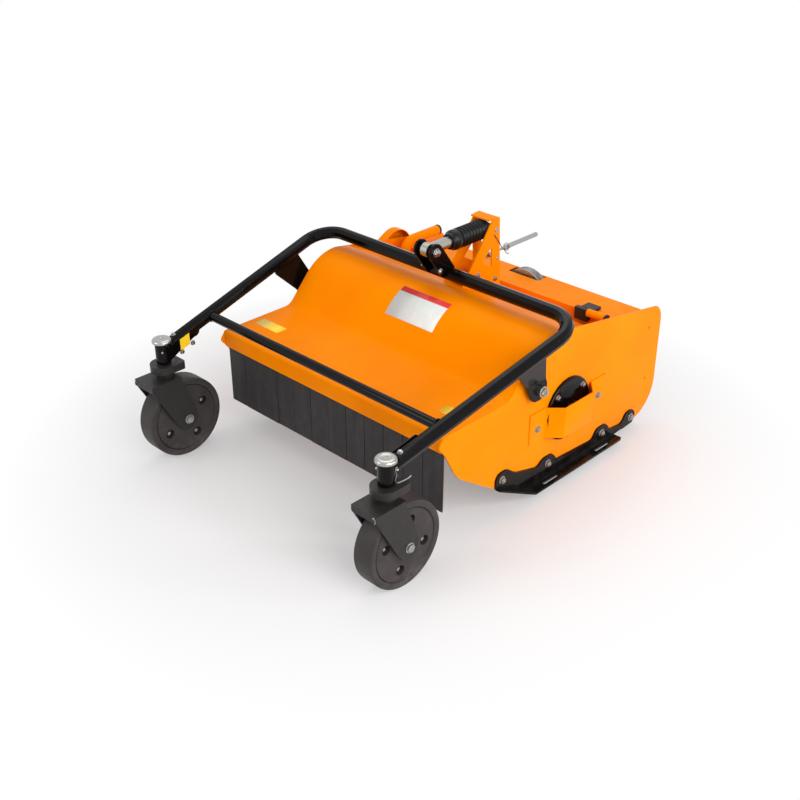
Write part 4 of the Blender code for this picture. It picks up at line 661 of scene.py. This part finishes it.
class MOWER_OT_casters(bpy.types.Operator):
    """Forks, caps, axles, tyres and moulded wheel discs"""
    bl_idname = "mower.casters"
    bl_label = "Casters"

    def execute(self, context):
        for word, turn in (("left", 28.0), ("right", -16.0)):
            dress("fork_" + word, "satin black", sizes().cast_edge)
            self.cap(word)
            self.axle(word)
            self.tyre(word)
            self.disc(word, radians(turn))
        return {"FINISHED"}

    def cap(self, word):
        low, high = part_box("stem_cap_" + word)
        tall, r = sizes().cap_share * (high.z - low.z), (high.x - low.x) / 2
        centre = Vector(((low.x + high.x) / 2, (low.y + high.y) / 2, high.z - tall))
        seat = bmesh.new()
        drum(seat, (centre.x, centre.y, low.z), (0, 0, 1), r * 0.82, 0.0, centre.z - low.z, 48)
        piece(seat, "stem_seat_" + word, "black enamel", "caster_" + word)
        dome = [(0.0, 0.0), (r, 0.0), (r, tall * 0.30), (r * 0.985, tall * 0.52),
                (r * 0.93, tall * 0.74), (r * 0.84, tall * 0.90), (r * 0.72, tall * 0.98),
                (r * 0.62, tall), (r * 0.50, tall), (r * 0.46, tall * 0.97),
                (r * 0.22, tall * 0.95), (r * 0.20, tall * 0.80), (0.0, tall * 0.80)]
        made = piece(revolve(dome, centre, "Z", 72), f"stem_cap_{word}_finished", "bright zinc",
                     "caster_" + word, sharp=40)
        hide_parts("stem_cap_" + word)

    def axle(self, word):
        low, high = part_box("axle_" + word)
        centre = (low + high) / 2
        reach = (high.x - low.x) / 2
        bm = bmesh.new()
        drum(bm, centre, (1, 0, 0), 0.0078, -reach, reach, 24, 0.0008)
        for side in (-1, 1):
            face = centre + Vector((side * (reach - 0.0085), 0, 0))
            drum(bm, face, (side, 0, 0), 0.0148, 0.0, 0.0018, 32, 0.0004)
            drum(bm, face, (side, 0, 0), 0.0125, 0.0016, 0.0080, 6, 0.0012)
        made = piece(bm, f"axle_{word}_finished", "bright zinc", "caster_" + word)
        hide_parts("axle_" + word)

    def tyre(self, word):
        centre = middle("tyre_" + word)
        side = [(0.1046, 0.0272), (0.1054, 0.0292), (0.1072, 0.0302), (0.1120, 0.0312),
                (0.1165, 0.0317), (0.1198, 0.0319), (0.1216, 0.0316), (0.1231, 0.0307),
                (0.1241, 0.0290), (0.1247, 0.0266), (0.1250, 0.0225), (0.1250, 0.0040)]
        profile = side + [(r, -x) for r, x in reversed(side)]
        made = piece(revolve(profile, centre, "X", 120), f"tyre_{word}_finished",
                     "tyre rubber", "wheel_" + word, sharp=50)
        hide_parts("tyre_" + word)

    def disc(self, word, turn):
        """The moulded disc with four round pockets in each face and a bolt's head in each."""
        centre = middle("hub_" + word)
        side = [(0.0084, 0.0349), (0.0222, 0.0349), (0.0230, 0.0341), (0.0230, 0.0304),
                (0.0250, 0.0296), (0.0600, 0.0290), (0.0960, 0.0296), (0.0985, 0.0288),
                (0.1005, 0.0297), (0.1022, 0.0295), (0.1036, 0.0278)]
        profile = side + [(r, -x) for r, x in reversed(side)]
        ring, pocket, floor = 0.071, 0.0142, 0.0140
        cutters = []
        heads = bmesh.new()
        for k in range(4):
            angle = turn + k * pi / 2
            place = centre + Vector((0, ring * cos(angle), ring * sin(angle)))
            for face in (-1, 1):
                cutter = bmesh.new()
                drum(cutter, place, (face, 0, 0), pocket, floor, 0.06, 32)
                cutters.append(cutter)
                drum(heads, place, (face, 0, 0), 0.0076, floor - 0.0002, floor + 0.0012, 20,
                     0.0003)
                drum(heads, place, (face, 0, 0), 0.0064, floor + 0.0010, floor + 0.0095, 6,
                     0.0008)
        made = piece(bored(revolve(profile, centre, "X", 96), cutters),
                     f"hub_{word}_finished", "wheel disc", "wheel_" + word, 0.0009, 40)
        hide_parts("hub_" + word)
        piece(heads, f"hub_bolts_{word}", "bright zinc", "wheel_" + word)


class MOWER_OT_height_screw(bpy.types.Operator):
    """The height screw: bellows, bright rod, head and pins"""
    bl_idname = "mower.height_screw"
    bl_label = "Height Screw"

    def execute(self, context):
        low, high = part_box("bellows")
        centre = Vector((0, high.y, (low.z + high.z) / 2))
        run, r = high.y - low.y, (high.z - low.z) / 2
        bore = 0.0180
        cuff = 0.036
        profile = [(bore, 0.0), (r * 0.86, 0.0)]
        ribs = sizes().bellows_ribs
        pitch = (run - cuff) / ribs
        for k in range(ribs):
            for share, reach in ((0.10, 0.80), (0.28, 0.90), (0.42, 0.985), (0.50, 1.0),
                                 (0.58, 0.985), (0.72, 0.90), (0.90, 0.80)):
                profile.append((r * reach, -pitch * (k + share)))
        profile += [(r * 0.90, -run + cuff * 0.95), (r * 0.99, -run + cuff * 0.86),
                    (r * 1.0, -run + cuff * 0.60), (r * 0.97, -run + cuff * 0.40),
                    (r * 0.84, -run + cuff * 0.28), (r * 0.78, -run + cuff * 0.20),
                    (r * 0.76, -run + 0.0005), (bore, -run)]
        made = piece(revolve(profile, centre, "Y", 72), "bellows_finished", "bellows rubber",
                     "screw", sharp=60)
        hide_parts("bellows")
        dress("screw_head", "satin black", 0.0008)
        dress("height_rod", "bright zinc", 0.0010)
        dress("hitch_rod", "bright zinc", 0.0008)
        for node in ("mast_pin", "hitch_pin"):
            dress(node, "bright zinc", 0.0010)
        self.link_pin()
        return {"FINISHED"}

    def link_pin(self):
        low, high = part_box("link_pin")
        centre = (low + high) / 2
        face = 0.0335
        bm = bmesh.new()
        drum(bm, (0, centre.y, centre.z), (1, 0, 0), 0.0068, low.x, high.x, 24, 0.0008)
        for side in (-1, 1):
            start = (side * face, centre.y, centre.z)
            drum(bm, start, (side, 0, 0), 0.0135, 0.0, 0.0018, 32, 0.0004)
            drum(bm, start, (side, 0, 0), 0.0118, 0.0016, 0.0086, 6, 0.0013)
        made = piece(bm, "link_pin_finished", "bright zinc", "caster_frame")
        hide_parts("link_pin")


class MOWER_OT_drive(bpy.types.Operator):
    """Drive pulley, its bearing, the latch and the knob"""
    bl_idname = "mower.drive"
    bl_label = "Drive and Latch"

    def execute(self, context):
        low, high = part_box("drive_pulley")
        centre = Vector(((low.x + high.x) / 2, 0.878 - MIDDLE_Y, (low.z + high.z) / 2))
        r, back, front = (high.x - low.x) / 2, low.y - centre.y, high.y - centre.y
        root, rim = r - 0.0118, r - 0.0165
        profile = [(0.0, back), (0.0125, back), (0.0125, -0.0150), (0.028, -0.0150),
                   (0.031, -0.0100), (rim - 0.004, -0.0100), (rim, -0.0150),
                   (r - 0.0012, -0.0150), (r, -0.0138), (r, -0.0115), (root, -0.0042),
                   (root, 0.0042), (r, 0.0115), (r, 0.0138), (r - 0.0012, 0.0150),
                   (rim, 0.0150), (rim - 0.004, 0.0100), (0.031, 0.0100), (0.028, 0.0150),
                   (0.0125, 0.0150), (0.0125, front - 0.001), (0.0115, front), (0.0, front)]
        made = piece(revolve(profile, centre, "Y", 80), "drive_pulley_finished", "cast iron",
                     "drive_pulley", sharp=30)
        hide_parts("drive_pulley")
        dress("input_bearing", "cast iron", sizes().cast_edge)
        dress("latch", "satin black", 0.0010)
        dress("knob", "satin black", 0.0008)
        return {"FINISHED"}


class MOWER_OT_bolts(bpy.types.Operator):
    """Bolts, nuts and washers of the deck and the frame"""
    bl_idname = "mower.bolts"
    bl_label = "Bolts"

    def execute(self, context):
        s = sizes()
        for word, side in (("left", -1), ("right", 1)):
            out = (side, 0, 0)
            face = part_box("side_plate_right")[1].x
            bm = bmesh.new()
            for y, z in SKID_BOLTS:
                bolt(bm, spot(side * (face + 0.0063), y, z), out, s.bolt_head, s.bolt_height,
                     s.washer, 0.003)
            piece(bm, "skid_bolts_" + word, "bright zinc", "deck")
            bm = bmesh.new()
            bolt(bm, spot(side * (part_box("pivot_bolt_right")[1].x - 0.0006), 0.372, 0.345), out,
                 0.0125, 0.0085, 0.0165, 0.004)
            piece(bm, "pivot_nut_" + word, "bright zinc", "deck")
            bm = bmesh.new()
            mast_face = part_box("mast")[1].x
            for y, z in MAST_BOLTS:
                bolt(bm, spot(side * mast_face, y, z), out, 0.0070, 0.0045, 0.0090)
            piece(bm, "mast_bolts_" + word, "bright zinc", "deck")
            self.stem_pins(word, side)
        bm = bmesh.new()
        for y, z in BEARING_BOLTS:
            bolt(bm, spot(0.4603, y, z), (1, 0, 0), 0.0076, 0.0055, 0.0098)
        piece(bm, "bearing_bolts", "bright zinc", "deck")
        bm = bmesh.new()
        for y, z in GUARD_BOLTS:
            bolt(bm, spot(0.4533, y, z), (1, 0, 0), 0.0085, 0.0055, 0.0115, 0.002)
        piece(bm, "guard_bolts", "bright zinc", "deck")
        bm = bmesh.new()
        for side in (1, -1):
            bolt(bm, spot(side * 0.033, 0.439, 0.548), (side, 0, 0), 0.0068, 0.0050, 0.0085)
        piece(bm, "lug_bolts", "bright zinc", "caster_frame")
        return {"FINISHED"}

    def stem_pins(self, word, side):
        """The bolt on the tube behind the cap, the plate's bolts and the sleeve's cross pin."""
        bm = bmesh.new()
        stem_x, stem_y = 0.4595, -0.212
        bolt(bm, spot(side * 0.4636, -0.1676, 0.3862), (0, -0.24, 0.97), 0.0058, 0.0042, 0.0070)
        for y, z in STEM_PLATE_BOLTS:
            inner = stem_x - 0.0244 + (y - stem_y) * 0.0775
            bolt(bm, spot(side * inner, y, z), (-side, 0, 0), 0.0060, 0.0042, 0.0078)
        along = Vector((side * 0.8, 0.6, 0.0))
        pin = spot(side * stem_x, stem_y, 0.357)
        drum(bm, pin, -along, 0.0032, 0.0215, 0.0265, 16, 0.0006)
        drum(bm, pin, along, 0.0032, 0.0215, 0.0305, 16, 0.0006)
        piece(bm, "stem_bolts_" + word, "bright zinc", "caster_frame")


class MOWER_OT_clips(bpy.types.Operator):
    """Spring clips and retaining wires"""
    bl_idname = "mower.clips"
    bl_label = "Clips"

    def execute(self, context):
        radius = sizes().wire
        for word, side in (("left", -1), ("right", 1)):
            wire([spot(side * x, y, z) for x, y, z in (
                (0.4822, -0.1965, 0.3640), (0.4845, -0.2010, 0.3690), (0.4852, -0.2050, 0.3630),
                (0.4842, -0.2035, 0.3540), (0.4838, -0.2000, 0.3440), (0.4820, -0.2030, 0.3330),
                (0.4815, -0.2020, 0.3240), (0.4810, -0.1960, 0.3196))],
                 "stem_lanyard_" + word, "bright zinc", "caster_frame", radius * 0.75)
            wire([spot(side * x, y, z) for x, y, z in (
                (0.4810, -0.1960, 0.3185), (0.4830, -0.1800, 0.3178), (0.4838, -0.1640, 0.3180),
                (0.4848, -0.1550, 0.3205), (0.4856, -0.1520, 0.3235))],
                 "stem_clip_" + word, "bright zinc", "caster_frame", radius * 1.6)
            self.loop(side, word, radius)
        wire([spot(0.0405, 0.670, 0.597), spot(0.0430, 0.686, 0.575), spot(0.0370, 0.712, 0.545),
              spot(0.0240, 0.745, 0.519), spot(0.0120, 0.768, 0.502), spot(0.0070, 0.784, 0.494)],
             "hitch_clip", "satin black", "deck", radius * 0.9)
        return {"FINISHED"}

    def loop(self, side, word, radius):
        """The small S-shaped clip hooked through the fork's front corner."""
        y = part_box("fork_right")[0].y + MIDDLE_Y - 0.0005
        x = side * 0.496
        height = 0.262
        wire([spot(x, y + 0.004, height), spot(x - side * 0.003, y - 0.001, height + 0.004),
              spot(x, y - 0.002, height + 0.009), spot(x + side * 0.004, y - 0.001, height + 0.004),
              spot(x + side * 0.005, y - 0.001, height - 0.004),
              spot(x + side * 0.002, y - 0.001, height - 0.009)],
             "fork_clip_" + word, "bright zinc", "caster_" + word, radius * 0.8)


def hood_surface():
    bm = bmesh.new()
    bm.from_mesh(NODES["hood"].data)
    tree = BVHTree.FromBMesh(bm)
    bm.free()
    return tree


def surface_height(tree, x, y):
    """Height of the hood's upper face at a place in the machine's coordinates."""
    hit = tree.ray_cast(spot(x, y, 1.0), Vector((0, 0, -1)))[0]
    if hit is None:
        raise ValueError(f"the hood has no surface at {x:.3f}, {y:.3f}")
    return hit.z


class MOWER_OT_labels(bpy.types.Operator):
    """The blank labels on the hood and the stem bracket"""
    bl_idname = "mower.labels"
    bl_label = "Blank Labels"

    def execute(self, context):
        self.on_hood("hood_plate", "white label", (-0.085, 0.106), (0.3268, 0.3935))
        self.on_hood("hood_plate_band", "red label", (-0.085, 0.106), (0.3935, 0.4115))
        self.on_hood("hood_label_left", "yellow label", (-0.425, -0.320), (0.102, 0.142))
        self.on_hood("hood_label_right", "yellow label", (0.342, 0.392), (0.097, 0.137))
        bm = bmesh.new()
        verts = box(bm, spot(-0.4400, -0.164, 0.346), spot(-0.4392, -0.128, 0.382))
        for vert in verts:
            vert.co.x -= (vert.co.y + MIDDLE_Y + 0.146) * 0.0775
            vert.co.z += (vert.co.y + MIDDLE_Y + 0.146) * 0.25
        piece(bm, "stem_label", "yellow label", "caster_frame", 0.0003)
        return {"FINISHED"}

    def on_hood(self, name, finish_name, across, along):
        """A thin sheet laid on the hood between two places across and two along."""
        tree = hood_surface()
        bm = bmesh.new()
        bmesh.ops.create_grid(bm, x_segments=2, y_segments=40, size=0.5)
        for vert in bm.verts:
            x = across[0] + (across[1] - across[0]) * (vert.co.x + 0.5)
            y = along[0] + (along[1] - along[0]) * (vert.co.y + 0.5)
            vert.co = spot(x, y, surface_height(tree, x, y) + 0.00015)
        bmesh.ops.recalc_face_normals(bm, faces=bm.faces[:])
        if sum(face.normal.z for face in bm.faces) < 0:
            bmesh.ops.reverse_faces(bm, faces=bm.faces[:])
        made = piece(bm, name, finish_name, "deck", sharp=60)
        wall = made.modifiers.new("thickness", "SOLIDIFY")
        wall.thickness = sizes().label_lift
        wall.offset = 1.0


class MOWER_OT_stage(bpy.types.Operator):
    """Floor, lights, background and the camera at the photograph's place"""
    bl_idname = "mower.stage"
    bl_label = "Stage"

    def execute(self, context):
        self.floor()
        self.world()
        for lamp in LAMPS:
            self.lamp(*lamp)
        self.camera()
        context.scene.view_settings.view_transform = "Standard"
        return {"FINISHED"}

    def floor(self):
        bm = bmesh.new()
        bmesh.ops.create_grid(bm, x_segments=1, y_segments=1, size=14.0)
        mesh = bpy.data.meshes.new("floor")
        bm.to_mesh(mesh)
        bm.free()
        floor = bpy.data.objects.new("floor", mesh)
        bpy.context.scene.collection.objects.link(floor)
        material, tree, shader = start_finish("studio floor", colours().floor, 0.9)
        shader.inputs["Specular IOR Level"].default_value = 0.1
        glow = tree.nodes.new("ShaderNodeEmission")
        glow.inputs["Color"].default_value = (1.0, 1.0, 1.0, 1.0)
        glow.inputs["Strength"].default_value = 1.0
        coordinates = tree.nodes.new("ShaderNodeTexCoord")
        reach = tree.nodes.new("ShaderNodeVectorMath")
        reach.operation = "LENGTH"
        tree.links.new(coordinates.outputs["Object"], reach.inputs[0])
        # painted light: for camera and glossy rays the floor glows white, 28% near the machine,
        # which lightens the machine's shadow, rising to all white farther out as the backdrop
        backdrop_and_shadow_lift = span(tree, reach.outputs["Value"], 0.66, 1.22, 0.28, 1.0)
        seen = self.seen(tree)
        share = multiply(tree, backdrop_and_shadow_lift, seen)
        mix = tree.nodes.new("ShaderNodeMixShader")
        tree.links.new(share, mix.inputs["Fac"])
        tree.links.new(shader.outputs["BSDF"], mix.inputs[1])
        tree.links.new(glow.outputs["Emission"], mix.inputs[2])
        tree.links.new(mix.outputs["Shader"], tree.nodes["Material Output"].inputs["Surface"])
        mesh.materials.append(material)

    def seen(self, tree):
        """1 for rays that the camera, gloss and glass send out."""
        path = tree.nodes.new("ShaderNodeLightPath")
        total = path.outputs["Is Camera Ray"]
        for name in ("Is Glossy Ray", "Is Transmission Ray"):
            step = tree.nodes.new("ShaderNodeMath")
            step.operation = "MAXIMUM"
            tree.links.new(total, step.inputs[0])
            tree.links.new(path.outputs[name], step.inputs[1])
            total = step.outputs["Value"]
        return total

    def world(self):
        world = bpy.data.worlds.new("studio")
        bpy.context.scene.world = world
        world.use_nodes = True
        tree = world.node_tree
        ambient = tree.nodes["Background"]
        ambient.inputs["Color"].default_value = (0.97, 0.98, 1.0, 1.0)
        ambient.inputs["Strength"].default_value = 0.54
        white = tree.nodes.new("ShaderNodeBackground")
        white.inputs["Color"].default_value = (1.0, 1.0, 1.0, 1.0)
        white.inputs["Strength"].default_value = 1.0
        mix = tree.nodes.new("ShaderNodeMixShader")
        tree.links.new(self.seen(tree), mix.inputs["Fac"])
        tree.links.new(ambient.outputs["Background"], mix.inputs[1])
        tree.links.new(white.outputs["Background"], mix.inputs[2])
        tree.links.new(mix.outputs["Shader"], tree.nodes["World Output"].inputs["Surface"])

    def lamp(self, name, place, target, size, power):
        light = bpy.data.lights.new(name, "AREA")
        light.shape = "DISK"
        light.size = size
        light.energy = power
        made = bpy.data.objects.new(name, light)
        made.location = place
        made.rotation_euler = (Vector(target) - Vector(place)).to_track_quat("-Z", "Y").to_euler()
        bpy.context.scene.collection.objects.link(made)

    def camera(self):
        azimuth, elevation, roll = radians(44.57), radians(29.43), radians(-0.21)
        right = Vector((cos(azimuth), sin(azimuth), 0.0))
        ahead = Vector((-sin(azimuth) * cos(elevation), cos(azimuth) * cos(elevation),
                        -sin(elevation)))
        up = right.cross(ahead)
        turned_right = right * cos(roll) + up * sin(roll)
        turned_up = up * cos(roll) - right * sin(roll)
        data = bpy.data.cameras.new("camera")
        data.lens = 51.47
        data.sensor_width = 36.0
        camera = bpy.data.objects.new("camera", data)
        place = Matrix((turned_right, turned_up, -ahead)).transposed().to_4x4()
        camera.matrix_world = Matrix.Translation((2.1128, -2.1872, 1.8576)) @ place
        bpy.context.scene.collection.objects.link(camera)
        bpy.context.scene.camera = camera


class MOWER_PT_panel(bpy.types.Panel):
    """Sidebar list of the mower's steps, sizes and colours"""
    bl_label = "Hammer Knife Mower"
    bl_idname = "MOWER_PT_panel"
    bl_space_type = "VIEW_3D"
    bl_region_type = "UI"
    bl_category = "Mower"

    def draw(self, context):
        for step in OPERATORS:
            self.layout.operator(step.bl_idname)
        for group in (context.scene.mower_sizes, context.scene.mower_colours):
            for name in group.__annotations__:
                self.layout.prop(group, name)


OPERATORS = (MOWER_OT_deck, MOWER_OT_hood_ridges, MOWER_OT_flaps, MOWER_OT_rotor,
             MOWER_OT_skids, MOWER_OT_tube_frame, MOWER_OT_casters, MOWER_OT_height_screw,
             MOWER_OT_drive, MOWER_OT_bolts, MOWER_OT_clips, MOWER_OT_labels, MOWER_OT_stage)
CLASSES = (MowerSizes, MowerColours, *OPERATORS, MOWER_PT_panel)


def register():
    for item in CLASSES:
        bpy.utils.register_class(item)
    bpy.types.Scene.mower_sizes = PointerProperty(type=MowerSizes)
    bpy.types.Scene.mower_colours = PointerProperty(type=MowerColours)


def unregister():
    del bpy.types.Scene.mower_colours
    del bpy.types.Scene.mower_sizes
    for item in reversed(CLASSES):
        bpy.utils.unregister_class(item)


def main():
    register()
    for step in OPERATORS:
        group, name = step.bl_idname.split(".")
        getattr(getattr(bpy.ops, group), name)()


if __name__ == "__main__":
    main()
